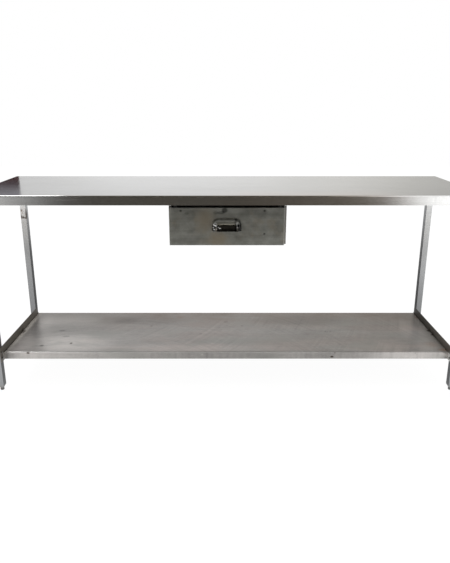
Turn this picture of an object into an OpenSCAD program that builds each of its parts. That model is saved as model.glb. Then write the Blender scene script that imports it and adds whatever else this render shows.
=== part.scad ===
// Stainless steel laboratory table with an undershelf and one hanging drawer.
// Millimetres. X runs along the length, the front faces -Y and Z is up.
// The origin is on the floor, under the middle of the worktop.

/* [Table] */
// Overall length of the worktop
table_l = 2132; // [1600:1:2600]
// Overall depth of the worktop, front to back
table_d = 635; // [560:1:800]
// Height of the working surface above the floor
table_h = 900; // [780:1:1000]

/* [Worktop] */
// Sheet thickness of the worktop
top_t = 1.5; // [1:0.1:2]
// Height of the folded apron
apron_h = 40; // [36:1:60]
// Outside radius of the fold along the edges of the worktop
nose_r = 6; // [3:0.5:8]
// Width of the lip turned in under the apron
top_lip = 12; // [6:1:16]
// Number of stiffeners under each half of the worktop
stiffener_count = 2; // [1:1:3]
// Height of a worktop stiffener
stiffener_h = 24; // [15:1:28]
// Width of a stiffener's crown
stiffener_crown = 40; // [30:1:60]
// Width of each stiffener flange that is welded to the sheet
stiffener_flange = 18; // [12:1:25]
// Sheet thickness of the stiffeners
stiffener_t = 1.5; // [1:0.1:2]

/* [Frame] */
// Side of the square tube of the legs and rails
tube = 30; // [25:1:34]
// Wall of the square tube
tube_t = 1.5; // [1.2:0.1:2.5]
// Outside corner radius of the square tube
tube_r = 2.5; // [2:0.1:4]
// Inside corner radius of the square tube
tube_in_r = 1.3; // [0.8:0.1:2.5]
// From the end of the worktop to the outer face of a leg
end_overhang = 24; // [18:1:60]
// From the front or back of the worktop to the outer face of a leg
side_overhang = 38.5; // [20:0.5:60]

/* [Feet] */
// Height of a bullet foot, from the floor to the insert
foot_h = 13; // [10:0.5:20]
// Radius of a bullet foot
foot_r = 8.75; // [7.5:0.25:9.5]
// Radius of the rounding under a foot
foot_round = 4; // [2:0.5:6]
// Radius of the foot's threaded stem
stem_r = 5; // [4:0.5:6]
// How far a foot screws out to level the table
foot_travel = 20; // [5:1:22]
// Length of stem that stays in the insert when a foot is fully out
stem_hold = 16; // [10:1:17]
// Height of the insert's taper below the tube
taper_h = 14; // [8:1:20]
// Radius of the taper's lower end
taper_r = 9.5; // [9.5:0.25:11]
// Length of the insert's plug inside the tube
plug_l = 25; // [20:1:40]
// Height of the insert's square rim under the tube end
rim_h = 2; // [1:0.5:4]

/* [Shelf] */
// Height of the shelf's upper face above the floor
shelf_z = 174; // [140:1:300]
// Sheet thickness of the shelf
shelf_t = 1.2; // [1:0.1:2]
// Height of the turned-down edges of the shelf
shelf_edge_h = 34; // [30:1:45]
// Outside radius of the shelf's folds
shelf_r = 3; // [2.2:0.1:5]
// Width of the lip turned in under the shelf's edges
shelf_lip = 10; // [6:1:15]
// From the back face of the front legs to the front of the shelf
shelf_set_back = 15; // [2:1:40]
// Height of the end plates above the shelf
upstand_h = 36; // [20:1:60]
// Height of the upper bolts of the end plates above the shelf
bolt_rise = 12; // [7:1:18]
// Thickness of the shelf's end plates
end_t = 1.5; // [1:0.1:2.5]
// Height of the stiffener under the shelf
shelf_stiffener_h = 24; // [15:1:28]

/* [Drawer] */
// Outside width of the drawer box
box_w = 439; // [300:1:640]
// Outside length of the drawer box
box_l = 524; // [480:1:540]
// Height of the drawer front
front_h = 160; // [120:1:200]
// How far the drawer front reaches past the box on each side
front_margin = 21; // [18:0.5:23]
// Depth of the folded edges of the drawer front
front_depth = 12; // [8:1:16]
// Sheet thickness of the drawer front
front_t = 1.2; // [1:0.1:1.5]
// Outside radius of the drawer front's folds
front_r = 2.5; // [1.8:0.1:4]
// From the face of the apron back to the face of the drawer front
front_recess = 32.5; // [29:0.5:36]
// From the bottom of the apron down to the top of the drawer front
front_drop = 15; // [10:1:25]
// Sideways place of the drawer front on its box
front_shift = -4; // [-5:0.5:5]
// Sheet thickness of the drawer box
box_t = 1.2; // [1:0.1:1.5]
// From the top of the drawer front down to the top of the box
box_top_drop = 5; // [4:1:10]
// From the bottom of the drawer front up to the bottom of the box
box_rise = 7; // [4:1:12]
// Outside radius of the box's lower folds
box_r = 3; // [2:0.5:5]
// Width of the lips turned out along the top of the box
box_lip = 12.5; // [11:0.5:20]
// Depth of the hem turned down along each lip
hem_h = 7; // [6.5:0.5:12]
// How far the drawer opens
drawer_travel = 400; // [200:1:420]

/* [Housing] */
// Sideways place of the housing under the worktop
housing_x = 6; // [-20:1:20]
// Sheet thickness of the housing
cheek_t = 1.5; // [1.2:0.1:2]
// Outside radius of the housing's folds
cheek_r = 2.5; // [2.2:0.1:3.5]
// Width of the front lip turned out of each cheek
cheek_lip = 9; // [6:0.5:12]
// Height of the relief above each front lip
lip_relief = 17; // [10:1:25]
// Width of the flanges that hang the cheeks from the rails
hanger_w = 20; // [18:1:25]
// Width of the flange turned in under each cheek
cheek_foot = 10; // [6:1:11]
// Depth of the folded edges of the housing's back plate
back_edge = 15; // [10:1:20]
// Sheet thickness of the runners
runner_t = 1.5; // [1.2:0.1:1.8]
// Outside radius of the runners' folds
runner_r = 2; // [1.9:0.1:2.4]
// From the front end of a runner to its stop screw
stop_set_back = 10; // [6:1:30]
// Length of the stop lugs under the drawer's lips
lug_l = 8; // [5:1:15]

/* [Handle] */
// Width of the cup pull
cup_w = 124; // [90:1:140]
// Height of the cup pull
cup_h = 50; // [36:1:60]
// How far the cup pull stands out, which is also the radius of its dome and ends
cup_depth = 28; // [22:1:32]
// Wall of the cup pull
cup_t = 1.6; // [1.2:0.1:2.5]
// From the bottom of the drawer front up to the open edge of the pull
cup_rise = 64; // [40:1:90]
// Distance between the two handle screws
cup_screw_pitch = 76; // [56:1:84]
// Height of the handle screws above the open edge of the pull
cup_screw_rise = 18; // [12:1:22]
// How far the handle screws reach into their posts
cup_screw_reach = 10; // [6:1:11]
// Radius of the posts that take the handle screws
post_r = 4; // [3.5:0.1:5]

/* [Fasteners] */
// Radius of the shelf bolts and housing screws
bolt_r = 3; // [2.5:0.5:4]
// Width across flats of the hex bolt heads
bolt_af = 10; // [9:0.5:13]
// Height of the hex bolt heads
bolt_head_h = 4; // [3:0.5:5]
// Length of bolt inside the tube
bolt_reach = 12; // [8:1:14]
// Radius of the handle screws
screw_r = 1.75; // [1.5:0.25:2.5]
// Radius of the rivets in the drawer front
rivet_r = 1.6; // [1.2:0.1:2.4]
// Radius of the rivet heads
rivet_head_r = 3; // [2.6:0.1:4]
// Radius of the runner stop screws' heads
stop_head_r = 3; // [2.2:0.1:3.2]
// Height of the runner stop screws' heads
stop_head_h = 3.6; // [3:0.1:4]
// Height of the nuts under the runner stop screws
stop_nut_h = 2.4; // [2:0.1:3]

/* [Clearances] */
// Between a moving stem and its bore, all round
stem_gap = 0.05; // [0.02:0.01:0.1]
// Between a screw and its hole, all round
hole_gap = 0.1; // [0.05:0.05:0.5]
// Between the insert's plug and the tube, all round
plug_gap = 0.2; // [0.1:0.05:0.4]
// Between the closed drawer front and the cheeks' lips
shut_gap = 0.3; // [0.2:0.1:1]
// Between a hem of the drawer and the runner's floor
ride_gap = 0.3; // [0.2:0.1:0.5]
// Between a lip of the drawer and the runner's upper flange
lift_gap = 1.7; // [1:0.1:3]
// Between a hem of the drawer and the runner's web
side_gap = 1; // [0.5:0.1:2]
// Between the drawer box and the edges of a runner
wall_gap = 1.5; // [1:0.1:2]
// Between the drawer box and the heads of the stop screws
head_gap = 2.5; // [1.5:0.1:3]
// From the front plane of the housing back to the lips of the drawer
lip_gap = 1; // [0.5:0.1:3]
// Between the lug and the stop screw when the drawer is fully out
stop_gap = 0.5; // [0.3:0.1:1]

/* [Hidden] */
$fn = 48;
// Overshoot of cuts past the faces that they open
eps = 1;

// Frame
leg_x = table_l / 2 - end_overhang - tube / 2;
leg_y = table_d / 2 - side_overhang - tube / 2;
frame_top = table_h - top_t;
rail_under = frame_top - tube;
leg_bottom = foot_h + taper_h;
leg_gap_x = 2 * leg_x - tube;
leg_gap_y = 2 * leg_y - tube;
stem_l = foot_travel + stem_hold;

// Shelf
shelf_l = leg_gap_x - 2 * end_t;
shelf_front = -leg_y + tube / 2 + shelf_set_back;
shelf_back = leg_y + tube / 2;
shelf_d = shelf_back - shelf_front;
shelf_mid = (shelf_front + shelf_back) / 2;
shelf_bottom = shelf_z - shelf_edge_h;
end_top = shelf_z + upstand_h;
bolt_low = shelf_bottom + shelf_edge_h / 2;
bolt_high = shelf_z + bolt_rise;
// Bolts of each shelf end as [Y, Z, sheet under the head]
shelf_bolt_places = [
    [-leg_y, bolt_high, end_t],
    [-leg_y, bolt_low, end_t],
    [leg_y, bolt_low, end_t + shelf_t]
];

// Drawer front, and the housing behind it
face_y = -table_d / 2 + front_recess;
front_top = table_h - apron_h - front_drop;
front_bottom = front_top - front_h;
front_x = housing_x + front_shift;
front_w = box_w + 2 * front_margin;
lip_out = box_w / 2 + box_lip;
cheek_front = face_y + front_depth + shut_gap;
cheek_back = leg_y + tube / 2;
cheek_in = lip_out + side_gap + runner_t;
cheek_x = cheek_in + cheek_t;
lip_top = rail_under - lip_relief;

// Drawer box
box_front = face_y + front_t;
box_back = box_front + box_l;
box_top = front_top - box_top_drop;
box_bottom = front_bottom + box_rise;

// Runners, with their floor just under the hems
runner_w = cheek_in - box_w / 2 - wall_gap;
runner_h = hem_h + ride_gap + lift_gap + 2 * runner_t;
runner_floor = box_top - hem_h - ride_gap;
runner_bottom = runner_floor - runner_t;
runner_front = cheek_front + 2 * cheek_r;
runner_back = cheek_back - back_edge - cheek_t;
stop_y = runner_front + stop_set_back;
stop_x = box_w / 2 + head_gap + stop_head_r;
lug_y = stop_y + stop_head_r + stop_gap + drawer_travel;
lug_h = hem_h - box_t - ride_gap;

// Handle and rivets, seen on the drawer front
cup_z = front_bottom + cup_rise;
cup_screw_z = cup_z + cup_screw_rise;
wall_stack = front_t + box_t;
// Rivets as [X from the middle of the front, Z above its bottom edge]
rivet_places = [[-191, 147], [157, 147], [157, 49]];

steel = [0.74, 0.74, 0.72];
dull_steel = [0.60, 0.60, 0.58];
dark_steel = [0.48, 0.48, 0.46];

// Flat shapes

module rounded_square_2d(side, r) {
    square([side, side - 2 * r], center = true);
    square([side - 2 * r, side], center = true);
    for (sx = [-1, 1], sy = [-1, 1])
        translate([sx * (side / 2 - r), sy * (side / 2 - r)]) circle(r);
}

module tube_2d() {
    difference() {
        rounded_square_2d(tube, tube_r);
        rounded_square_2d(tube - 2 * tube_t, tube_in_r);
    }
}

// A plate seen from its end: flat below, both upper corners rounded, top edge at y = 0
module crowned_2d(w, h, r) {
    translate([-w / 2, -h]) square([w, h - r]);
    translate([-w / 2 + r, -h]) square([w - 2 * r, h]);
    for (s = [-1, 1])
        translate([s * (w / 2 - r), -r]) circle(r);
}

// A bent sheet seen from its end: legs a along +x and b along +y, outer corner at the origin
module bent_2d(a, b, t, r) {
    translate([r, 0]) square([a - r, t]);
    translate([0, r]) square([t, b - r]);
    translate([r, r]) intersection() {
        difference() {
            circle(r);
            circle(r - t);
        }
        translate([-r, -r]) square(r);
    }
}

// A hat section hanging below y = 0 by its two flanges
module hat_2d(crown, flange, h, t, r) {
    for (s = [0, 1]) mirror([s, 0]) {
        translate([crown / 2, -h]) mirror([1, 0]) bent_2d(crown / 2, h / 2, t, r);
        translate([crown / 2 - t, 0]) mirror([0, 1]) bent_2d(flange + t, h / 2, t, r);
    }
}

// Folded pans: closed on top at z = 0, open below, with mitred corners

module crowned_block(l, d, h, r) {
    intersection() {
        rotate([90, 0, 90]) linear_extrude(height = l, center = true) crowned_2d(d, h, r);
        rotate([90, 0, 0]) linear_extrude(height = d, center = true) crowned_2d(l, h, r);
    }
}

module pan(l, d, h, t, r) {
    difference() {
        crowned_block(l, d, h, r);
        translate([0, 0, -t]) crowned_block(l - 2 * t, d - 2 * t, h, r - t);
    }
}

module lip_ring(l, d, h, t, lip) {
    translate([0, 0, -h]) difference() {
        translate([-l / 2, -d / 2, 0]) cube([l, d, t]);
        translate([-l / 2 + t + lip, -d / 2 + t + lip, -eps])
            cube([l - 2 * (t + lip), d - 2 * (t + lip), t + 2 * eps]);
    }
}

// Worktop and frame

module worktop() {
    color(steel) translate([0, 0, table_h]) {
        pan(table_l, table_d, apron_h, top_t, nose_r);
        lip_ring(table_l, table_d, apron_h, top_t, top_lip);
    }
}

// Places of the stiffeners on one side, between the drawer's housing and the end rail
function stiffener_x(side, i) =
    let (near = side * housing_x + cheek_x + hanger_w, far = leg_x - tube / 2)
    side * (near + (far - near) * (i + 1) / (stiffener_count + 1));

module worktop_stiffeners() {
    color(dark_steel)
        for (side = [-1, 1], i = [0 : stiffener_count - 1])
            translate([stiffener_x(side, i), 0, frame_top]) rotate([90, 0, 0])
                linear_extrude(height = leg_gap_y, center = true)
                    hat_2d(stiffener_crown, stiffener_flange, stiffener_h, stiffener_t, 2 * stiffener_t);
}

module bar_x(l) rotate([0, 90, 0]) linear_extrude(height = l, center = true) tube_2d();
module bar_y(l) rotate([90, 0, 0]) linear_extrude(height = l, center = true) tube_2d();

// The front and back rails have two holes below for the housing's screws
module top_rail_long(side) {
    color(dull_steel) difference() {
        translate([0, side * leg_y, frame_top - tube / 2]) bar_x(leg_gap_x);
        for (s = [-1, 1])
            translate([hanger_screw_x(s), side * leg_y, rail_under - eps])
                cylinder(r = bolt_r + hole_gap, h = tube_t + 2 * eps);
    }
}

module top_rail_short(side) {
    color(dull_steel) translate([side * leg_x, 0, frame_top - tube / 2]) bar_y(leg_gap_y);
}

module leg(sx, sy) {
    color(dull_steel) difference() {
        translate([sx * leg_x, sy * leg_y, leg_bottom])
            linear_extrude(height = frame_top - leg_bottom) tube_2d();
        for (p = shelf_bolt_places)
            if (sign(p[0]) == sy)
                translate([sx * (leg_x - tube / 2 - eps), p[0], p[1]]) rotate([0, 90 * sx, 0])
                    cylinder(r = bolt_r + hole_gap, h = tube_t + 2 * eps);
    }
}

module leg_insert(sx, sy) {
    plug = tube - 2 * tube_t - 2 * plug_gap;
    bottom_edge = 1;
    color(dull_steel) translate([sx * leg_x, sy * leg_y, 0]) difference() {
        union() {
            hull() {
                translate([0, 0, leg_bottom - rim_h])
                    linear_extrude(height = rim_h) rounded_square_2d(tube, tube_r, $fn = 24);
                translate([0, 0, foot_h]) cylinder(r = taper_r, h = bottom_edge, $fn = 32);
            }
            translate([0, 0, leg_bottom]) linear_extrude(height = plug_l)
                rounded_square_2d(plug, tube_r);
        }
        translate([0, 0, foot_h - eps])
            cylinder(r = stem_r + stem_gap, h = taper_h + plug_l + 2 * eps);
    }
}

module foot(sx, sy) {
    color(dull_steel) translate([sx * leg_x, sy * leg_y, 0]) rotate_extrude() {
        square([foot_r - foot_round, foot_h]);
        translate([0, foot_round]) square([foot_r, foot_h - foot_round]);
        intersection() {
            translate([foot_r - foot_round, foot_round]) circle(foot_round);
            square(foot_h);
        }
        square([stem_r, foot_h + stem_l]);
    }
}

// Shelf

module shelf() {
    color(steel) difference() {
        translate([0, shelf_mid, shelf_z]) {
            pan(shelf_l, shelf_d, shelf_edge_h, shelf_t, shelf_r);
            lip_ring(shelf_l, shelf_d, shelf_edge_h, shelf_t, shelf_lip);
        }
        for (sx = [-1, 1])
            translate([sx * (shelf_l / 2 + eps), leg_y, bolt_low]) rotate([0, -90 * sx, 0])
                cylinder(r = bolt_r + hole_gap, h = shelf_t + 2 * eps);
    }
}

module shelf_stiffener() {
    color(dark_steel) translate([0, shelf_mid, shelf_z - shelf_t]) rotate([90, 0, 90])
        linear_extrude(height = shelf_l - 2 * (shelf_t + shelf_lip), center = true)
            hat_2d(stiffener_crown, stiffener_flange, shelf_stiffener_h, stiffener_t, 2 * stiffener_t);
}

// An upright plate against the inner faces of two legs, its back corner cut off above the shelf
module shelf_end(sx) {
    y1 = leg_y + tube / 2;
    color(dark_steel) difference() {
        translate([sx * (leg_x - tube / 2 - end_t / 2), 0, 0]) rotate([90, 0, 90])
            linear_extrude(height = end_t, center = true)
                polygon([[-y1, shelf_bottom], [y1, shelf_bottom], [y1, shelf_z],
                         [y1 - tube, end_top], [-y1, end_top]]);
        for (p = shelf_bolt_places)
            translate([sx * (leg_x - tube / 2 + eps), p[0], p[1]]) rotate([0, -90 * sx, 0])
                cylinder(r = bolt_r + hole_gap, h = end_t + 2 * eps);
    }
}

// A hex bolt along +Z: its head below z = 0, a stack of sheets and the tube wall above
module hex_bolt(stack) {
    translate([0, 0, -bolt_head_h]) cylinder(r = bolt_af / sqrt(3), h = bolt_head_h, $fn = 6);
    translate([0, 0, -bolt_head_h / 2]) cylinder(r = bolt_r, h = bolt_head_h / 2 + stack + bolt_reach);
}

module shelf_bolts() {
    color(steel)
        for (sx = [-1, 1], p = shelf_bolt_places)
            translate([sx * (leg_x - tube / 2 - p[2]), p[0], p[1]]) rotate([0, 90 * sx, 0])
                hex_bolt(p[2]);
}

// Drawer housing, hung from the front and back rails

function hanger_screw_x(side) = housing_x + side * (cheek_x + hanger_w / 2);

module on_side(side) translate([housing_x, 0, 0]) mirror([side < 0 ? 1 : 0, 0, 0]) children();

module housing_cheek(side) {
    web_front = cheek_front + cheek_r;
    color(dark_steel) on_side(side) difference() {
        union() {
            translate([0, cheek_back, 0]) rotate([90, 0, 0])
                linear_extrude(height = cheek_back - web_front) {
                    half = (rail_under - front_bottom) / 2 + eps;
                    translate([cheek_in, rail_under]) mirror([0, 1])
                        bent_2d(hanger_w + cheek_t, half, cheek_t, cheek_r);
                    translate([cheek_x, front_bottom]) mirror([1, 0])
                        bent_2d(cheek_foot + cheek_t, half, cheek_t, cheek_r);
                }
            translate([cheek_in, cheek_front, front_bottom + cheek_r])
                linear_extrude(height = lip_top - front_bottom - cheek_r)
                    bent_2d(cheek_lip + cheek_t, 2 * cheek_r, cheek_t, cheek_r);
        }
        for (sy = [-1, 1])
            translate([cheek_x + hanger_w / 2, sy * leg_y, rail_under - cheek_t - eps])
                cylinder(r = bolt_r + hole_gap, h = cheek_t + 2 * eps);
    }
}

module housing_back() {
    bottom = front_bottom + cheek_r;
    color(dark_steel)
        translate([housing_x, cheek_back, (rail_under + bottom) / 2]) rotate([-90, 0, 0])
            pan(2 * cheek_in, rail_under - bottom, back_edge, cheek_t, cheek_r);
}

module housing_screws() {
    color(steel)
        for (s = [-1, 1], sy = [-1, 1])
            translate([hanger_screw_x(s), sy * leg_y, rail_under - cheek_t]) hex_bolt(cheek_t);
}

// Runners: C sections on the cheeks' inner faces, open towards the drawer

module runner(side) {
    color(dull_steel) on_side(side) difference() {
        translate([cheek_in, runner_back, runner_bottom]) rotate([90, 0, 0])
            linear_extrude(height = runner_back - runner_front)
                for (up = [0, 1])
                    translate([0, up * runner_h]) mirror([0, up]) mirror([1, 0])
                        bent_2d(runner_w, runner_h / 2, runner_t, runner_r);
        translate([stop_x, stop_y, runner_bottom - eps])
            cylinder(r = screw_r + hole_gap, h = runner_t + 2 * eps);
    }
}

module runner_stop_screws() {
    color(steel)
        for (side = [-1, 1]) on_side(side) translate([stop_x, stop_y, 0]) {
            translate([0, 0, runner_floor]) cylinder(r = stop_head_r, h = stop_head_h);
            translate([0, 0, runner_bottom - stop_nut_h])
                cylinder(r = screw_r, h = stop_nut_h + runner_t + stop_head_h / 2);
            translate([0, 0, runner_bottom - stop_nut_h]) cylinder(r = stop_head_r, h = stop_nut_h, $fn = 6);
        }
}

// Drawer

module fixing_holes(y, depth) {
    for (p = rivet_places)
        translate([front_x + p[0], y, front_bottom + p[1]]) rotate([-90, 0, 0])
            cylinder(r = rivet_r + hole_gap, h = depth);
    for (s = [-1, 1])
        translate([front_x + s * cup_screw_pitch / 2, y, cup_screw_z]) rotate([-90, 0, 0])
            cylinder(r = screw_r + hole_gap, h = depth);
}

module drawer_box() {
    color(dull_steel) difference() {
        union() {
            translate([housing_x, (box_front + box_back) / 2, box_bottom]) mirror([0, 0, 1])
                pan(box_w, box_l, box_top - box_bottom, box_t, box_r);
            for (side = [-1, 1]) on_side(side) {
                lip_front = cheek_front + lip_gap;
                translate([box_w / 2 - box_t, lip_front, box_top - box_t])
                    cube([box_lip + box_t, box_back - lip_front, box_t]);
                translate([lip_out - box_t, lip_front, box_top - hem_h])
                    cube([box_t, box_back - lip_front, hem_h]);
            }
        }
        fixing_holes(box_front - eps, box_t + 2 * eps);
    }
}

module drawer_front() {
    color(dull_steel) difference() {
        translate([front_x, face_y, (front_top + front_bottom) / 2]) rotate([90, 0, 0])
            pan(front_w, front_h, front_depth, front_t, front_r);
        fixing_holes(face_y - eps, front_t + 2 * eps);
    }
}

module drawer_rivets() {
    head_h = 1.2;
    tail_h = 1.4;
    color(dark_steel)
        for (p = rivet_places)
            translate([front_x + p[0], face_y, front_bottom + p[1]]) rotate([-90, 0, 0]) {
                translate([0, 0, -head_h]) cylinder(r1 = rivet_head_r * 0.6, r2 = rivet_head_r, h = head_h);
                cylinder(r = rivet_r, h = wall_stack + tail_h);
                translate([0, 0, wall_stack]) cylinder(r = rivet_head_r * 0.8, h = tail_h);
            }
}

module drawer_stop_lugs() {
    color(steel)
        for (side = [-1, 1]) on_side(side)
            translate([box_w / 2, lug_y, box_top - box_t - lug_h])
                cube([box_lip - box_t, lug_l, lug_h]);
}

// Half the section of the cup pull: a straight skirt with a quarter circle above it
module cup_2d(depth, h) {
    square([depth, h - depth]);
    translate([0, h - depth]) intersection() {
        circle(depth, $fn = 72);
        square(depth);
    }
}

// That section drawn out along X, with a half turn of it at each end: flat at the back and below
module hood(w, depth, h) {
    side = w / 2 - depth;
    translate([-side, 0, 0]) rotate([90, 0, 90]) mirror([1, 0, 0])
        linear_extrude(height = 2 * side) cup_2d(depth, h);
    for (s = [-1, 1])
        translate([s * side, 0, 0]) rotate([0, 0, 180])
            rotate_extrude(angle = 180, $fn = 72) cup_2d(depth, h);
}

module drawer_handle() {
    color([0.80, 0.81, 0.82]) translate([front_x, face_y, cup_z]) {
        difference() {
            hood(cup_w, cup_depth, cup_h);
            translate([0, 0, -eps]) hood(cup_w - 2 * cup_t, cup_depth - cup_t, cup_h - cup_t + eps);
        }
        difference() {
            intersection() {
                hood(cup_w - cup_t, cup_depth - cup_t / 2, cup_h - cup_t / 2);
                for (s = [-1, 1])
                    translate([s * cup_screw_pitch / 2, 0, cup_screw_rise]) rotate([90, 0, 0])
                        cylinder(r = post_r, h = cup_depth);
            }
            for (s = [-1, 1])
                translate([s * cup_screw_pitch / 2, eps, cup_screw_rise]) rotate([90, 0, 0])
                    cylinder(r = screw_r + hole_gap, h = cup_screw_reach + 2 * eps);
        }
    }
}

module handle_screws() {
    head_r = 2 * screw_r;
    head_h = 2.4;
    color(steel)
        for (s = [-1, 1])
            translate([front_x + s * cup_screw_pitch / 2, face_y + wall_stack, cup_screw_z])
                rotate([90, 0, 0]) {
                    translate([0, 0, -head_h]) cylinder(r = head_r, h = head_h);
                    cylinder(r = screw_r, h = wall_stack + cup_screw_reach);
                }
}

worktop();
worktop_stiffeners();
top_rail_long(-1);  // top_rail_front
top_rail_long(1);  // top_rail_back
top_rail_short(-1);  // top_rail_left
top_rail_short(1);  // top_rail_right
leg(-1, -1);  // leg_front_left
leg(1, -1);  // leg_front_right
leg(-1, 1);  // leg_back_left
leg(1, 1);  // leg_back_right
leg_insert(-1, -1);  // leg_insert_front_left
leg_insert(1, -1);  // leg_insert_front_right
leg_insert(-1, 1);  // leg_insert_back_left
leg_insert(1, 1);  // leg_insert_back_right
foot(-1, -1);  // foot_front_left
foot(1, -1);  // foot_front_right
foot(-1, 1);  // foot_back_left
foot(1, 1);  // foot_back_right
shelf();
shelf_stiffener();
shelf_end(-1);  // shelf_end_left
shelf_end(1);  // shelf_end_right
shelf_bolts();
housing_cheek(-1);  // housing_cheek_left
housing_cheek(1);  // housing_cheek_right
housing_back();
housing_screws();
runner(-1);  // runner_left
runner(1);  // runner_right
runner_stop_screws();
drawer_box();
drawer_front();
drawer_rivets();
drawer_stop_lugs();
drawer_handle();
handle_screws();
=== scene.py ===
# %% [markdown]
# # A stainless steel laboratory table
#
# This script dresses a finished model of a steel table with an undershelf and one drawer. The model's
# solids arrive at their real size and place, and stay as they are. The script gives each of them a
# finish, and models the small pieces that want more shape than the solids have: the cup pull, the feet,
# the inserts, the rivets, the screws and the welds. Everything is in metres. X runs along the table, the
# front faces -Y, Z is up, and the origin is on the floor under the middle of the worktop.

# %% Load the model
import math
import random

import bmesh
import bpy
from mathutils import Matrix, Vector


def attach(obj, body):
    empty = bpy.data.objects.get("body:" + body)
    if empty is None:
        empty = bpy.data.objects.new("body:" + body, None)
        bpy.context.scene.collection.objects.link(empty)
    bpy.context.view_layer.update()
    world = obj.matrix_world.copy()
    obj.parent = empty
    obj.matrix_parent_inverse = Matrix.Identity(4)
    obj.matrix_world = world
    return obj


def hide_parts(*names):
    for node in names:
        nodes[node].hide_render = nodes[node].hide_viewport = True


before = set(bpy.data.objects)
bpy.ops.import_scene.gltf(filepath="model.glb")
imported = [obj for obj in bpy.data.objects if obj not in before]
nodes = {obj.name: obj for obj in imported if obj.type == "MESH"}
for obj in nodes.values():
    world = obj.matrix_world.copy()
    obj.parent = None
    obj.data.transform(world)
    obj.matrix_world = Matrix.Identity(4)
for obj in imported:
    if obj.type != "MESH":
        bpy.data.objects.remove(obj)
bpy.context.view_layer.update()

# %% [markdown]
# ## The camera
#
# A product photograph of a long table is taken from in front, a little above it, with a lens of ordinary
# length. Looking down by 17 degrees shows the worktop and the shelf as thin slices. A camera's view can
# be set by a focal length in pixels, which the lens then follows from: the frame's long side, in pixels,
# stands for the sensor's 36 mm.

# %% The camera
PHOTO_LONG_SIDE = 563
FOCAL_PIXELS = 583.4
SENSOR = 36.0
CAMERA_PLACE = Vector((-0.0061, -2.676, 1.2713))
LOOKS_DOWN = math.radians(17.32)
LOOKS_RIGHT = 0.0003

camera = bpy.data.objects.new("camera", bpy.data.cameras.new("camera"))
camera.data.sensor_width = SENSOR
camera.data.lens = FOCAL_PIXELS / PHOTO_LONG_SIDE * SENSOR
camera.location = CAMERA_PLACE
camera.rotation_euler = (math.pi / 2 - LOOKS_DOWN, 0, -LOOKS_RIGHT)
bpy.context.scene.collection.objects.link(camera)
bpy.context.scene.camera = camera
print("lens", round(camera.data.lens, 2), "mm")

# %% [markdown]
# ## Shader maths as plain expressions
#
# A finish is worked out by many small nodes. Wiring them one by one hides the thought behind them, so a
# small class wraps the output of a node as a number that varies over the surface. Adding, subtracting or
# scaling such a number adds the Math node that does it. A second class holds the nodes of one material or
# of the world, and its node() method makes any other node from its type, its settings and what goes into
# its sockets.


# %% A number that varies over the surface
class Value:
    def __init__(self, owner, socket):
        self.owner = owner
        self.socket = socket

    def maths(self, operation, first, second=0.0):
        return self.owner.node("ShaderNodeMath", {"operation": operation}, {0: first, 1: second})

    def __add__(self, other):
        return self.maths("ADD", self, other)

    def __radd__(self, other):
        return self.maths("ADD", other, self)

    def __sub__(self, other):
        return self.maths("SUBTRACT", self, other)

    def __rsub__(self, other):
        return self.maths("SUBTRACT", other, self)

    def __mul__(self, other):
        return self.maths("MULTIPLY", self, other)

    def __rmul__(self, other):
        return self.maths("MULTIPLY", other, self)

    def __abs__(self):
        return self.maths("ABSOLUTE", self)

    def __gt__(self, other):
        return self.maths("GREATER_THAN", self, other)

    def at_least(self, other):
        return self.maths("MAXIMUM", self, other)


# %% The nodes of a material or of the world
class Nodes:
    def __init__(self, owner):
        owner.use_nodes = True
        self.tree = owner.node_tree
        self.tree.nodes.clear()

    def node(self, kind, settings=None, sockets=None, out=0):
        new = self.tree.nodes.new(kind)
        for name, value in (settings or {}).items():
            setattr(new, name, value)
        for name, value in (sockets or {}).items():
            if isinstance(value, Value):
                self.tree.links.new(value.socket, new.inputs[name])
            else:
                new.inputs[name].default_value = value
        return Value(self, new.outputs[out])

    def output(self, kind, surface):
        self.tree.links.new(surface.socket, self.tree.nodes.new(kind).inputs["Surface"])

    def seen(self):
        """1 for rays from the camera, off gloss and through glass, and 0 for plain light."""
        camera_ray, glossy_ray, clear_ray = (self.node("ShaderNodeLightPath", out=kind) for kind in
                                             ("Is Camera Ray", "Is Glossy Ray", "Is Transmission Ray"))
        return camera_ray.at_least(glossy_ray).at_least(clear_ray)


# %% [markdown]
# A steel surface has two different coordinates. Its place on the object says where a stain or a worn
# edge is. Its grain says how the brushing runs: along the sheet, with fine lines side by side. Two small
# methods return most often: ease() takes one number to another range with a soft start and end, and
# spot() is 1 at a place on the object and falls softly to nothing round it.


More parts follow.
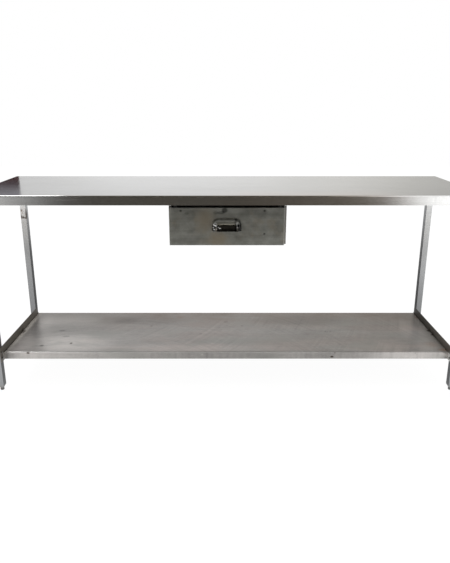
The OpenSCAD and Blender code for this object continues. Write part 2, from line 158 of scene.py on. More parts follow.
# %% One material
class Finish(Nodes):
    MIX_FACTOR, MIX_A, MIX_B, MIX_COLOUR = 0, 6, 7, 2
    MIX_VECTOR_A, MIX_VECTOR_B, MIX_VECTOR = 4, 5, 1
    SEED_STEPS = (1, 0.37, -0.61)

    def __init__(self, name):
        self.material = bpy.data.materials.new(name)
        super().__init__(self.material)
        self.place = self.node("ShaderNodeTexCoord", out="Object")
        self.x, self.y, self.z = self.parts(self.place)
        self.facing = self.node("ShaderNodeTexCoord", out="Normal")

    def parts(self, vector):
        return [self.node("ShaderNodeSeparateXYZ", None, {0: vector}, out) for out in "XYZ"]

    def joined(self, x, y, z):
        return self.node("ShaderNodeCombineXYZ", None, {0: x, 1: y, 2: z})

    def mix(self, factor, first, second):
        sockets = {self.MIX_FACTOR: factor, self.MIX_A: first, self.MIX_B: second}
        return self.node("ShaderNodeMix", {"data_type": "RGBA"}, sockets, self.MIX_COLOUR)

    def scaled(self, colour, factor):
        plain = colour if isinstance(colour, Value) else colour[:3]
        return self.node("ShaderNodeVectorMath", {"operation": "SCALE"}, {0: plain, "Scale": factor})

    def ease(self, value, low, high, start=0.0, end=1.0):
        sockets = {"Value": value, "From Min": low, "From Max": high, "To Min": start, "To Max": end}
        return self.node("ShaderNodeMapRange", {"interpolation_type": "SMOOTHSTEP"}, sockets)

    def fade(self, value, low, high):
        return self.ease(value, low, high, 1.0, 0.0)

    def noise(self, vector, scale, detail=2.0, rough=0.5, seed=0.0):
        sockets = {"Vector": vector, "Location": [step * seed for step in self.SEED_STEPS], "Scale": scale}
        moved = self.node("ShaderNodeMapping", None, sockets)
        settings = {"Vector": moved, "Scale": 1.0, "Detail": detail, "Roughness": rough}
        return self.node("ShaderNodeTexNoise", None, settings)

    def blotch(self, fineness, detail, rough, seed):
        """Noise by the place on the object, with one fineness or one for each direction."""
        each = fineness if isinstance(fineness, tuple) else (fineness,) * 3
        return self.noise(self.place, each, detail, rough, seed)

    def cloud(self, *how):
        """The same noise about nothing, which lightens as much as it darkens."""
        return self.blotch(*how) - 0.5

    def spot(self, centre, radius, soft=0.6):
        steps = {"Vector": self.place, "Location": [-c / r for c, r in zip(centre, radius)],
                 "Scale": [1 / r for r in radius]}
        reach = self.node("ShaderNodeVectorMath", {"operation": "LENGTH"},
                          {0: self.node("ShaderNodeMapping", None, steps)}, "Value")
        return self.fade(reach, 1.0 - soft, 1.0)

    def close(self, colour, roughness, height, depth, metallic=1.0):
        bump = self.node("ShaderNodeBump", None, {"Height": height, "Distance": depth})
        sockets = {"Base Color": colour, "Roughness": roughness, "Metallic": metallic, "Normal": bump}
        self.output("ShaderNodeOutputMaterial", self.node("ShaderNodeBsdfPrincipled", None, sockets))
        return self.material


# %% [markdown]
# ## The studio
#
# Steel has hardly a colour of its own: it shows what stands round it. Here that is a white studio, so
# the world is white to the camera and to reflections, and dimmer as a light, because pale paint under a
# full white world would clip. The floor is pale, and takes a share of its brightness from a glow that
# the camera sees, which leaves a soft shadow under the feet.

# %% The world
WHITE = (1, 1, 1, 1)
WORLD_LIGHT = 0.75

bpy.context.scene.view_settings.view_transform = "Standard"
world = bpy.data.worlds.new("studio")
bpy.context.scene.world = world
studio = Nodes(world)
strength = studio.node("ShaderNodeMapRange", None,
                       {"Value": studio.seen(), "To Min": WORLD_LIGHT, "To Max": 1.0})
studio.output("ShaderNodeOutputWorld",
              studio.node("ShaderNodeBackground", None, {"Color": WHITE, "Strength": strength}))
print("world", len(studio.tree.nodes), "nodes")

# %% The floor
FLOOR_REACH = 9.0
FLOOR_PAINT = (0.9, 0.9, 0.9, 1)
FLOOR_GLOW, GLOW_SHARE = 1.06, 0.9
QUARTER = math.pi / 2


def sheet(name, low, high, material):
    """A flat stage sheet between two corners. One of its three sizes is nothing."""
    low, high = Vector(low), Vector(high)
    size = high - low
    bm = bmesh.new()
    bmesh.ops.create_grid(bm, x_segments=1, y_segments=1, size=0.5)
    for flat, axis in ((size.y, "X"), (size.x, "Y")):
        if flat == 0:
            bmesh.ops.rotate(bm, verts=bm.verts, matrix=Matrix.Rotation(QUARTER, 3, axis))
    bmesh.ops.scale(bm, verts=bm.verts, vec=[s or 1 for s in size])
    bmesh.ops.translate(bm, verts=bm.verts, vec=(low + high) / 2)
    mesh = bpy.data.meshes.new(name)
    bm.to_mesh(mesh)
    bm.free()
    mesh.materials.append(material)
    made = bpy.data.objects.new(name, mesh)
    bpy.context.scene.collection.objects.link(made)
    print("stage:", name, [round(s, 2) for s in size])
    return made


def floor_finish():
    finish = Finish("floor")
    paint = finish.node("ShaderNodeBsdfDiffuse", None, {"Color": FLOOR_PAINT})
    glow = finish.node("ShaderNodeEmission", None, {"Color": WHITE, "Strength": FLOOR_GLOW})
    both = finish.node("ShaderNodeMixShader", None, {0: finish.seen() * GLOW_SHARE, 1: paint, 2: glow})
    finish.output("ShaderNodeOutputMaterial", both)
    return finish.material


sheet("floor", (-FLOOR_REACH, -FLOOR_REACH, 0), (FLOOR_REACH, FLOOR_REACH, 0), floor_finish())

# %% [markdown]
# ## Cards for the steel to reflect
#
# The front of the table looks dark in the middle and bright at its ends, because it mirrors an unlit
# room behind the camera between bright windows. Photographers do the same with black, grey and white
# cards. These cards are seen only by reflections: the camera, the shadows and the diffuse light pass
# them by. Each card's brightness is a formula of the place on the card, so a soft edge costs no picture.
# The windows are low, which brightens the apron's ends and the shelf's front. The upper right of the room
# is bright as well, and shows in the rounded edge above the apron. The room's floor shows in the drawer
# front and in the legs, and is darker under the table. In these formulas ease(x, 1.49, 2.02, 0.0, 1.68)
# reads: from x = 1.49 to x = 2.02 the brightness rises from 0 to 1.68.


# %% Card helper
def card(name, low, high, paint):
    finish = Finish(name)
    colour, brightness = paint(finish)
    sockets = {"Color": finish.scaled(colour, brightness), "Strength": 1.0}
    glow = finish.node("ShaderNodeEmission", None, sockets)
    finish.output("ShaderNodeOutputMaterial", glow)
    made = sheet(name, low, high, finish.material)
    for kind in ("camera", "diffuse", "shadow", "transmission"):
        setattr(made, "visible_" + kind, False)


# %% The unlit room in front of the table
ROOM_Y, ROOM_TOP, ROOM_HALF = -3.5, 2.9, 3.2
SIDES_Y, CEILING_Y, ROOM_FLOOR_Y = -0.4, 0.6, 0.5
ABOVE_FLOOR, BELOW_CEILING = 0.002, 0.02
LAMPLIGHT = (1.0, 0.91, 0.76, 1)
SILL, WINDOW_TOP, END_WINDOW_TOP, END_WINDOW = (0.16, 0.28), (0.6, 1.0), (1.1, 1.6), (1.75, 2.05)
STRIP_LOW, STRIP_HIGH, STRIP_GLOW = (1.75, 1.82), (1.95, 2.02), 1.6
LAMP_GLOW, CEILING_GLOW = 4.0, 0.05


def room_wall(finish):
    """Dark, with a window low at each side, and a lamp high up that draws a line on the pull."""
    x, z, ease, fade = finish.x, finish.z, finish.ease, finish.fade
    inner = fade(z, *WINDOW_TOP) * ease(z, *SILL)
    windows = inner + ease(abs(x), *END_WINDOW) * (fade(z, *END_WINDOW_TOP) - inner)
    left = ease(x, -2.07, -1.43, 0.40, 0.0) + ease(x, -2.66, -2.10, 1.45, 0.0)
    right = ease(x, 1.49, 2.02, 0.0, 1.68) + ease(x, 1.15, 1.65, 0.0, 0.16) + ease(x, 0.1, 1.2, 0.0, 0.07)
    wall = ease(z, 0.45, 0.65, 0.115, 0.02) * ease(z, 0.14, 0.26, 0.15, 1.0)
    lamp = ease(z, *STRIP_LOW) * fade(z, *STRIP_HIGH) * STRIP_GLOW
    upper = ease(x, 1.1, 2.0, 0.0, 1.6) * ease(z, 1.2, 1.6)
    colour = finish.mix(ease(abs(x), 1.1, 1.9), LAMPLIGHT, WHITE)
    return colour, (left + right) * windows + wall + lamp + upper


def side_wall(finish):
    return WHITE, finish.ease(finish.y, -1.1, -0.4, 0.03, 1.0)


def left_lamp(finish):
    return WHITE, LAMP_GLOW


def room_ceiling(finish):
    x, y, ease = finish.x, finish.y, finish.ease
    back = ease(y, -0.7, 0.6, 0.0, 0.75)
    right = ease(x, 0.9, 1.7, 0.0, 1.5) + ease(x, 0.2, 1.1, 0.0, 0.10)
    return finish.mix(ease(x, 0.9, 1.4), LAMPLIGHT, WHITE), back + right + CEILING_GLOW


def room_floor(finish):
    x, y, ease = finish.x, finish.y, finish.ease
    under = ease(y, -0.45, -0.1, 1.0, 0.55)
    near = ease(y, -2.9, -1.9, 0.02, 1.15) * ease(y, -1.4, -0.9, 1.0, 0.62) * under
    windows = ease(abs(x), 1.8, 2.15) * ease(y, -2.9, -1.9, 1.2, 0.0)
    ends = ease(abs(x), 0.2, 1.1, 0.05, 0.50) * ease(y, -2.2, -1.2)
    sides = ease(x, -2.35, -1.15, 0.4, 0.0) + ease(x, 1.15, 1.95, 0.0, 0.9)
    lit = ease(y, -2.6, -1.5)
    return finish.mix(lit, LAMPLIGHT, WHITE), sides * lit + near + ends * under + windows


card("room_wall", (-ROOM_HALF, ROOM_Y, 0), (ROOM_HALF, ROOM_Y, ROOM_TOP), room_wall)
for side, x in (("left", -ROOM_HALF), ("right", ROOM_HALF)):
    card("side_wall_" + side, (x, ROOM_Y, 0), (x, SIDES_Y, ROOM_TOP), side_wall)
card("left_lamp", (-3.0, -2.5, ROOM_TOP - BELOW_CEILING), (-2.3, -1.9, ROOM_TOP - BELOW_CEILING), left_lamp)
card("room_ceiling", (-ROOM_HALF, ROOM_Y, ROOM_TOP), (ROOM_HALF, CEILING_Y, ROOM_TOP), room_ceiling)
card("room_floor", (-ROOM_HALF, ROOM_Y, ABOVE_FLOOR), (ROOM_HALF, ROOM_FLOOR_Y, ABOVE_FLOOR), room_floor)

# %% [markdown]
# Behind the table hangs a pale backdrop. The worktop is seen so flat that it mirrors a low part of the
# backdrop, and the shelf, seen more from above, mirrors a higher and dimmer part. A dark brown screen at the
# left end is what darkens the corner of the worktop. Its folds show as wavy reddish bands.

# %% The backdrop and the screen behind the table
BACK_Y, BACK_HALF, BACK_TOP = 6.0, 8.0, 8.0
BEHIND_HALF, BEHIND_Y = 6.0, 0.5
SCREEN_Y, SCREEN_END, SCREEN_EDGE, SCREEN_TOP = 0.8, -3.4, -1.223, 2.2
BACK_GLOW, BACK_WARM = 0.94, (1.0, 0.985, 0.945, 1)
FOLD_DARK, FOLD_RED = (0.012, 0.004, 0.008, 1), (0.085, 0.030, 0.028, 1)
SCREEN_LOW, SCREEN_HIGH = (0.42, 0.41, 0.40, 1), (0.31, 0.31, 0.34, 1)


def backdrop(finish):
    x, z, ease = finish.x, finish.z, finish.ease
    right = ease(x, 0.0, 1.6, 0.0, 0.10) + ease(x, 1.4, 3.6, 0.0, 0.25)
    left = ease(x, -3.0, -1.2, 0.13, 0.0)
    high = ease(z, 1.7, 2.5, 1.0, 0.74) * ease(z, 0.7, 1.2, 0.55, 1.0)
    return finish.mix(ease(x, -1.0, 3.0), WHITE, BACK_WARM), (BACK_GLOW - right - left) * high


def brown_screen(finish):
    z, ease = finish.z, finish.ease
    folds = finish.noise(finish.place, (1.2, 1.0, 44), 3, 0.6)
    colour = finish.mix(ease(folds, 0.42, 0.62), FOLD_DARK, FOLD_RED)
    colour = finish.mix(ease(z, 0.78, 0.92), SCREEN_LOW, colour)
    return finish.mix(ease(z, 1.02, 1.07), colour, SCREEN_HIGH), 1.0


def floor_behind(finish):
    return WHITE, finish.ease(finish.y, 0.5, 5.0, 0.42, 0.75)


card("backdrop", (-BACK_HALF, BACK_Y, 0), (BACK_HALF, BACK_Y, BACK_TOP), backdrop)
card("brown_screen", (SCREEN_END, SCREEN_Y, 0), (SCREEN_EDGE, SCREEN_Y, SCREEN_TOP), brown_screen)
card("floor_behind", (-BEHIND_HALF, BEHIND_Y, ABOVE_FLOOR), (BEHIND_HALF, BACK_Y, ABOVE_FLOOR), floor_behind)

# %% [markdown]
# The light itself comes from two soft lamps: a wide one high over the table, which draws the faint shadow
# on the floor, and a smaller, brighter one over the left end, which lights up the folded front edge.


# %% The lamps
def soft_lamp(name, place, width, depth, watts):
    """A lamp whose light falls straight down, or nearly so."""
    data = bpy.data.lights.new(name, "AREA")
    data.shape = "RECTANGLE"
    data.size, data.size_y = width, depth
    data.energy = watts
    lamp = bpy.data.objects.new(name, data)
    lamp.location, aim = place
    lamp.rotation_euler = (Vector(aim) - lamp.location).to_track_quat("-Z", "Y").to_euler()
    bpy.context.scene.collection.objects.link(lamp)
    print(name, watts, "W")
    return lamp


LAMP_Z = 2.85
lamp_over = soft_lamp("lamp_over", [(0.3, -0.2, LAMP_Z), (0.3, 0, 0)], 2.4, 1.2, 30)
lamp_over.visible_glossy = False
soft_lamp("lamp_left", [(-1.78, 0.1, LAMP_Z), (-1.78, 0.1, 0)], 1.04, 0.9, 29)

# %% [markdown]
# ## Brushed steel
#
# Every sheet of this table has the same brushed finish, worn in different ways. An anisotropic shader
# would stretch the highlights, but shows no line close up. So the brushing is three noises drawn out
# along the grain: broad bands a hand wide, streaks of a few millimetres, and the fine scratch itself.
# Cloudy noise that follows no grain stands for wiping and cleaning. The grain's coordinates put the
# brushing direction first, and on a face that stands across the table's length the brushing turns with
# it, so that no face shows the lines end on. What differs from sheet to sheet is the colour, how dull it
# is, and the marks, so the brushing is one function that returns its parts, and each sheet's own function
# adds the marks before it closes the material.

# %% Brushing
STANDS_ACROSS = 0.7


def grain_of(finish, along):
    x, y, z = finish.x, finish.y, finish.z
    if along == "Z":
        return finish.joined(z, x, y)
    turned_grain = finish.joined(y, x, z)
    if along == "Y":
        return turned_grain
    across = abs(finish.parts(finish.facing)[0]) > STANDS_ACROSS
    sockets = {finish.MIX_FACTOR: across, finish.MIX_VECTOR_A: finish.place,
               finish.MIX_VECTOR_B: turned_grain}
    return finish.node("ShaderNodeMix", {"data_type": "VECTOR"}, sockets, finish.MIX_VECTOR)


def brushing(finish, along="X", seed=0.0):
    grain = grain_of(finish, along)
    bands = finish.noise(grain, (0.9, 9, 9), 2, 0.5, seed) - 0.5
    streaks = finish.noise(grain, (2.6, 110, 110), 3, 0.6, seed + 3) - 0.5
    hair = finish.noise(grain, (14, 900, 900), 2, 0.6, seed + 7) - 0.5
    return grain, bands, streaks, hair, finish.cloud(7, 4, 0.55, seed + 11)


def scratches(finish, grain, length, fineness, seed, low, high=0.74):
    """Single long scratches: the highest ridges of a very fine noise."""
    return finish.ease(finish.noise(grain, (length, fineness, fineness), 1, 0.5, seed), low, high)


# %% Tones and marks
BRUSHED = 0.00006


def tone(finish, colour, change):
    """A colour made lighter or darker by a share that varies over the surface."""
    return finish.scaled(colour, change + 1.0)


def flat_marks(axis, level, depth):
    """A function that places marks on a plane across one axis.

    Each mark is a place in the plane's two directions, its reach in both, and a strength."""
    def marks_at(*rows):
        placed = []
        for first, second, wide, high, strength in rows:
            centre, reach = [first, second], [wide, high]
            centre.insert(axis, level)
            reach.insert(axis, depth)
            placed.append((centre, reach, strength))
        return placed
    return marks_at


def marks(finish, places, soft=0.6):
    """Soft spots added up. Each has a centre and a reach in metres, and a strength."""
    total = 0.0
    for centre, reach, strength in places:
        total = finish.spot(centre, reach, soft) * strength + total
    return total


# %% A plain sheet finish
def sheet_steel(name, colour, dull, seed):
    finish = Finish(name)
    _, bands, streaks, hair, clouds = brushing(finish, seed=seed)
    change = bands * 0.10 + streaks * 0.20 + hair * 0.16 + clouds * 0.24
    rough = dull + streaks * 0.14 + hair * 0.10 + clouds * 0.16
    return finish.close(tone(finish, colour, change), rough, hair + streaks * 0.5, BRUSHED)


# %% [markdown]
# ## The worktop
#
# The worktop is the best kept sheet. It is nearly a mirror when looked along, so its roughness is low. It
# has fine scratches that follow the grain, faint wiping marks that don't, one old brownish stain, and a
# pale dot on the fold. Left of the middle it is painted a little brighter, and at its left end a little
# darker, as painted reflection. A strip along the front, from the middle towards the right, has a warmer
# tone, as from people who lean and work there. The apron is the same sheet folded down, so it has the
# same finish. A picture of scratches would repeat itself along two metres of sheet, so the scratches are
# the ridges of one more noise that runs with the brushing.

# %% Worktop finish
WORKTOP_COLOUR = (0.545, 0.545, 0.54, 1)
WORKTOP_WARM = (0.572, 0.543, 0.522, 1)
OLD_STAIN, STAIN_SHARE = (0.40, 0.34, 0.27, 1), 0.16
STAIN_AT = (0.92, 0.181, 0.9), (0.035, 0.05, 0.01)
PALE_DOT_AT = (0.0059, -0.3175, 0.893), (0.003, 0.003, 0.0025)
REFLECTION_CENTRE_X = 0.45


def worktop_steel():
    finish = Finish("worktop_steel")
    x, y, ease, fade = finish.x, finish.y, finish.ease, finish.fade
    grain, bands, streaks, hair, clouds = brushing(finish)
    wiped = finish.cloud((2.2, 6, 6), 3, 0.6, 23)
    scratched = scratches(finish, grain, 2.2, 380, 31, 0.66)
    fine = finish.cloud((70, 45, 45), 3, 0.65, 27)
    grit = finish.cloud((230, 90, 90), 2, 0.6, 29)
    change = (bands * 0.05 + streaks * 0.24 + hair * 0.12 + clouds * 0.05 + wiped * 0.20 + fine * 0.16
              + grit * 0.16 - scratched * 0.07)
    leaned_on = fade(y, -0.30, -0.12) * ease(x, -0.15, 0.15) * fade(x, 0.55, 0.85)
    # Painted reflection: a little lighter left of the middle and towards the back, a little darker at the
    # left end.
    painted_reflection = (ease(y, -0.30, 0.30, 0.4, 1.0) * ease(abs(x + REFLECTION_CENTRE_X), 0.20, 0.55, 0.09, 0.0)
                - ease(x, -1.0, -0.86, 0.045, 0.0))
    colour = finish.mix(leaned_on, WORKTOP_COLOUR, WORKTOP_WARM)
    colour = tone(finish, colour, change + finish.spot(*PALE_DOT_AT) * 0.5 + painted_reflection)
    colour = finish.mix(finish.spot(*STAIN_AT) * STAIN_SHARE, colour, OLD_STAIN)
    rough = 0.15 + streaks * 0.05 + hair * 0.05 + clouds * 0.06 + scratched * 0.08
    return finish.close(colour, rough, hair * 0.7 + streaks * 0.4 - scratched * 0.4, BRUSHED * 2 / 3)


# %% [markdown]
# ## The drawer
#
# The drawer front is handled all day. It is duller than the worktop, greenish grey, and mottled by hands
# and cleaning. It is darker near its top edge, partly from smudges and partly as painted shade under the
# worktop's front edge. It has brownish patches left of the pull and below it, and dirt has settled round
# the three rivets. The mottling is noise, and each mark that has a place of its own is a soft spot there,
# so it can be moved or left out. The box behind the front has the same finish.

# %% Drawer finish
DRAWER_COLOUR = (0.272, 0.277, 0.258, 1)
DRAWER_BROWN = (0.30, 0.255, 0.19, 1)
FACE = -0.285

on_front = flat_marks(1, FACE, 0.02)
# Darker marks near the top edge: partly smudges, partly painted shade under the worktop's front edge.
SMUDGES_AND_PAINTED_SHADE = on_front(
    (-0.007, 0.834, 0.017, 0.014, 0.80), (-0.022, 0.824, 0.020, 0.009, 0.52),
    (-0.044, 0.824, 0.014, 0.009, 0.34), (-0.164, 0.821, 0.013, 0.007, 0.22),
    (0.0, 0.812, 0.090, 0.014, 0.10), (0.205, 0.700, 0.06, 0.03, -0.02), (0.130, 0.820, 0.10, 0.03, 0.26),
    (0.165, 0.772, 0.085, 0.032, 0.14), (-0.165, 0.705, 0.10, 0.03, 0.14))
RIVET_DIRT = on_front((-0.189, 0.832, 0.008, 0.008, 0.6), (0.159, 0.832, 0.008, 0.008, 0.6),
                      (0.159, 0.734, 0.008, 0.008, 0.6))
WARM_LEFT = (-0.088, FACE, 0.795), (0.060, 0.03, 0.080), 0.9
WARM_BELOW = (-0.035, FACE, 0.712), (0.060, 0.03, 0.050), 0.9


def drawer_steel():
    finish = Finish("drawer_steel")
    _, bands, streaks, hair, clouds = brushing(finish, seed=40.0)
    mottled = finish.cloud(34, 4, 0.65, 47)
    hands = finish.blotch(11, 3, 0.6, 53)
    change = bands * 0.12 + streaks * 0.34 + hair * 0.16 + clouds * 0.34 + mottled * 0.50
    colour = tone(finish, DRAWER_COLOUR, change - marks(finish, SMUDGES_AND_PAINTED_SHADE) - marks(finish, RIVET_DIRT, 0.9))
    warm = finish.spot(*WARM_LEFT) + finish.ease(hands, 0.52, 0.70) * 0.5 + finish.spot(*WARM_BELOW)
    colour = finish.mix(warm * 0.62, colour, DRAWER_BROWN)
    rough = 0.37 + mottled * 0.22 + clouds * 0.16 + streaks * 0.10
    return finish.close(colour, rough, hair + streaks * 0.5 + mottled * 0.2, BRUSHED)


# %% [markdown]
# ## The shelf
#
# The shelf has carried boxes. It is browner towards the back, and brighter near its front left. The fold at
# the front has a painted highlight on the left and is painted darker on the right. It has small dents, dark
# spots on the front face, an orange water stain in the front right corner, and brown heat marks round its
# welds. Beside the left end plate a pale strip is painted over the plate's dark reflection, and beside the
# right one a darker band is painted as shade. A painted picture could hold all that, but no mark in it
# could be moved by itself. Here each mark is a row of numbers, its place, reach and strength, in a table
# for each kind. The dents go into the bump as well.

# %% The shelf's marks
SHELF_Z = 0.174
FRONT_Y = -0.234

on_shelf = flat_marks(2, SHELF_Z, 0.01)
on_edge = flat_marks(1, FRONT_Y, 0.01)
DENTS = on_shelf((-0.862, -0.163, 0.014, 0.014, 0.55), (-0.731, -0.136, 0.009, 0.013, 0.85),
                 (0.081, 0.084, 0.009, 0.012, 0.35), (-0.378, 0.083, 0.009, 0.013, 0.35))
DARKER = on_shelf(
    (-0.776, -0.052, 0.024, 0.014, 0.42), (-0.815, 0.021, 0.022, 0.014, 0.36),
    (0.0, 0.140, 0.016, 0.020, 0.22), (0.40, -0.02, 0.05, 0.03, 0.08), (0.62, 0.05, 0.09, 0.05, 0.07),
    (-0.52, 0.16, 0.10, 0.04, 0.08), (-0.40, 0.17, 0.25, 0.10, 0.24), (0.40, 0.17, 0.30, 0.10, 0.26),
    (-0.56, 0.16, 0.14, 0.08, 0.15), (-0.35, 0.0, 0.25, 0.10, 0.06), (0.35, 0.0, 0.25, 0.10, 0.06)
) + on_edge(
    (0.50, 0.157, 0.20, 0.03, 0.16), (0.863, 0.168, 0.004, 0.003, 0.5), (-0.422, 0.143, 0.006, 0.004, 0.4),
    (-0.398, 0.144, 0.005, 0.003, 0.4), (0.0, 0.157, 0.28, 0.03, 0.08))
BRIGHTER = on_shelf(
    (-0.78, -0.15, 0.36, 0.18, 1.05), (-0.98, -0.20, 0.09, 0.07, 0.12), (-0.80, 0.16, 0.22, 0.11, 0.34),
    (-0.945, 0.12, 0.07, 0.17, 0.35), (-0.30, -0.20, 0.45, 0.09, 0.39), (0.05, -0.19, 0.32, 0.08, 0.20),
    (0.30, -0.20, 0.30, 0.06, 0.08), (0.75, -0.20, 0.30, 0.09, 0.28), (0.95, -0.20, 0.12, 0.08, 0.08),
    (-0.91, 0.05, 0.08, 0.26, 0.22), (0.93, -0.02, 0.10, 0.28, 0.30), (0.91, -0.19, 0.06, 0.06, 0.08),
    (-0.45, -0.05, 0.40, 0.12, 0.10)
) + on_edge(
    (-0.80, 0.157, 0.20, 0.03, 0.08), (0.82, 0.157, 0.22, 0.03, 0.30), (-0.110, 0.160, 0.008, 0.005, 0.35),
    (-0.975, 0.157, 0.040, 0.03, -0.22), (1.005, 0.157, 0.035, 0.03, 0.60))
EDGE_SPOTS = on_edge((-0.903, 0.169, 0.0105, 0.0065, 1), (0.483, 0.150, 0.0105, 0.0065, 1),
                     (0.496, 0.169, 0.005, 0.004, 0.7))
WELD_STAINS = on_shelf((-1.004, 0.010, 0.018, 0.040, 0.8), (1.006, 0.020, 0.014, 0.020, 1),
                       (1.008, -0.031, 0.012, 0.014, 1), (1.008, 0.150, 0.010, 0.020, 0.6))
RUST_STAINS = on_shelf((-0.242, 0.211, 0.030, 0.030, 0.30), (1.002, 0.205, 0.012, 0.030, 0.5))
ORANGE_STAINS = on_shelf((1.004, -0.212, 0.040, 0.022, 0.9), (0.965, -0.150, 0.05, 0.05, 0.25))
# Beside the left end plate a pale strip painted over the plate's dark reflection; beside the right one a
# darker band painted as shade.
STRIP_AT = (-1.010, 0.03, SHELF_Z), (0.036, 0.42, 0.01), 0.9
RIGHT_SHADE_BAND_AT = (1.014, 0.0, SHELF_Z), (0.052, 0.50, 0.01), 0.9
print("shelf:", len(DARKER + BRIGHTER + DENTS + EDGE_SPOTS), "marks")

# %% Shelf finish
SHELF_COLOUR = (0.368, 0.352, 0.338, 1)
SHELF_PINK = (0.368, 0.331, 0.312, 1)
SHELF_BROWN = (0.235, 0.198, 0.172, 1)
SHELF_GREEN = (0.33, 0.335, 0.31, 1)
STRIP_COLOUR = (0.60, 0.565, 0.51, 1)
RIGHT_SHADE_BAND = (0.34, 0.322, 0.298, 1)
FOLD_HIGHLIGHT_PAINT = (0.85, 0.85, 0.84, 1)
BURNT = (0.055, 0.04, 0.03, 1)
RUST = (0.21, 0.115, 0.06, 1)
ORANGE = (0.42, 0.28, 0.19, 1)


def wiping_arcs(finish, centre, fineness, seed):
    """Fine arcs round a centre, as an arm leaves them when it wipes a table."""
    away = finish.node("ShaderNodeVectorMath", {"operation": "DISTANCE"}, {0: finish.place, 1: centre},
                       "Value")
    broken = finish.blotch(5, 3, 0.6, seed + 2)
    lines = finish.noise(finish.joined(away, 0.0, 0.0), (fineness, 1, 1), 2, 0.6, seed) - 0.5
    return lines * finish.ease(broken, 0.42, 0.62)


def shelf_steel():
    finish = Finish("shelf_steel")
    x, y, z, ease, fade, mix = finish.x, finish.y, finish.z, finish.ease, finish.fade, finish.mix
    grain, bands, streaks, hair, clouds = brushing(finish, seed=80.0)
    patches = finish.cloud((9, 22, 22), 4, 0.62, 87)
    blotches = finish.cloud((42, 60, 60), 4, 0.62, 89)
    grit = finish.cloud((110, 150, 150), 3, 0.65, 95)
    arcs = (wiping_arcs(finish, (-0.62, -0.75, SHELF_Z), 75, 97)
            + wiping_arcs(finish, (-1.3, 0.7, SHELF_Z), 60, 103))
    scratched = scratches(finish, grain, 3.0, 300, 91, 0.67)
    face = fade(y, -0.2335, -0.2325)
    change = (face * 0.03 + grit * 0.30 + bands * 0.18 + streaks * 0.24 + hair * 0.12 + clouds * 0.26
              + patches * 0.50 + blotches * 0.38 + arcs * 0.55 + scratched * 0.20
              + marks(finish, BRIGHTER, 0.95))
    fold = ease(z, 0.1690, 0.1720) * fade(y, -0.2318, -0.2295)
    # Painted shade: the fold darker towards the right end.
    change = change - fold * ease(x, 0.35, 0.8, 0.0, 0.40)

    pink = ease(finish.blotch((3, 8, 8), 3, 0.6, 101), 0.36, 0.60) * ease(x, -0.9, -0.2)
    colour = mix(pink * (0.9 - face * 0.9), SHELF_COLOUR, SHELF_PINK)
    colour = tone(finish, colour, change - marks(finish, DARKER))
    green = ease(finish.blotch((4, 9, 9), 3, 0.6, 93), 0.50, 0.66)
    colour = mix(green * 0.35, colour, SHELF_GREEN)
    browner_to_back = ease(y, 0.0, 0.26) * (clouds * 0.9 + patches * 0.9 + 0.62) * ease(x, -0.9, -0.5, 0.4, 1.0)
    colour = mix(browner_to_back, colour, SHELF_BROWN)

    # Painted light beside the end plates: the pale strip on the left, the darker band on the right.
    strip, right_shade_band = finish.spot(*STRIP_AT), finish.spot(*RIGHT_SHADE_BAND_AT)
    colour = mix(strip * (patches + 0.75), colour, STRIP_COLOUR)
    colour = mix(right_shade_band * (patches + 0.9), colour, RIGHT_SHADE_BAND)
    # Painted highlight along the fold, on its left half.
    worn = fold * ease(x, -1.0, -0.94, 0.35, 1.0) * fade(x, 0.2, 0.7)
    colour = mix(worn * 0.62, colour, FOLD_HIGHLIGHT_PAINT)
    colour = mix(marks(finish, ORANGE_STAINS, 0.9) * (patches * 2.0 + 0.8), colour, ORANGE)
    colour = mix(marks(finish, EDGE_SPOTS, 0.7), colour, BURNT)
    colour = mix(marks(finish, RUST_STAINS, 0.8) * (patches * 1.5 + 0.8), colour, RUST)
    colour = mix(marks(finish, WELD_STAINS, 0.8) * 0.8 + marks(finish, DENTS, 0.8), colour, BURNT)

    rough = (0.35 + patches * 0.20 + blotches * 0.14 + clouds * 0.10 + streaks * 0.12
             + (strip + right_shade_band) * 0.25)
    height = hair * 0.8 + streaks * 0.4 + blotches * 0.5 - marks(finish, DENTS, 0.9) * 12
    return finish.close(colour, rough, height, BRUSHED, 1.0 - (strip + right_shade_band) * 0.6)


# %% [markdown]
# ## The end plates
#
# The two plates that stand up at the shelf's ends are darker and browner than the shelf: the brown is their
# own, and their darker tone is painted shade under the worktop. The right one is painted darker towards the
# back, as shade. The welds near the middle have burnt dark patches on them. Below the shelf's top their
# front
# ends are pale: the left one is rubbed bright by boots, and the right one has a dried-up haze. They could
# have the shelf's finish, but their grain runs the other way, so they have their own. Haze isn't metal, so
# it lowers the metallic value too.

# %% End plate finish
# Their own brown, made darker as painted shade under the worktop.
END_BROWN_AND_SHADE = (0.18, 0.165, 0.145, 1)
RUBBED_COLOUR, HAZY_COLOUR = (0.66, 0.65, 0.63, 1), (0.90, 0.88, 0.85, 1)
LEFT_TO_RIGHT = (-0.2, 0.2)
NEAR_WELD = [((x, y, 0.180), (0.01, 0.024, 0.016), 1) for x, y in ((-1.0095, 0.02), (1.0095, 0.02),
                                                                  (1.0095, -0.031))]


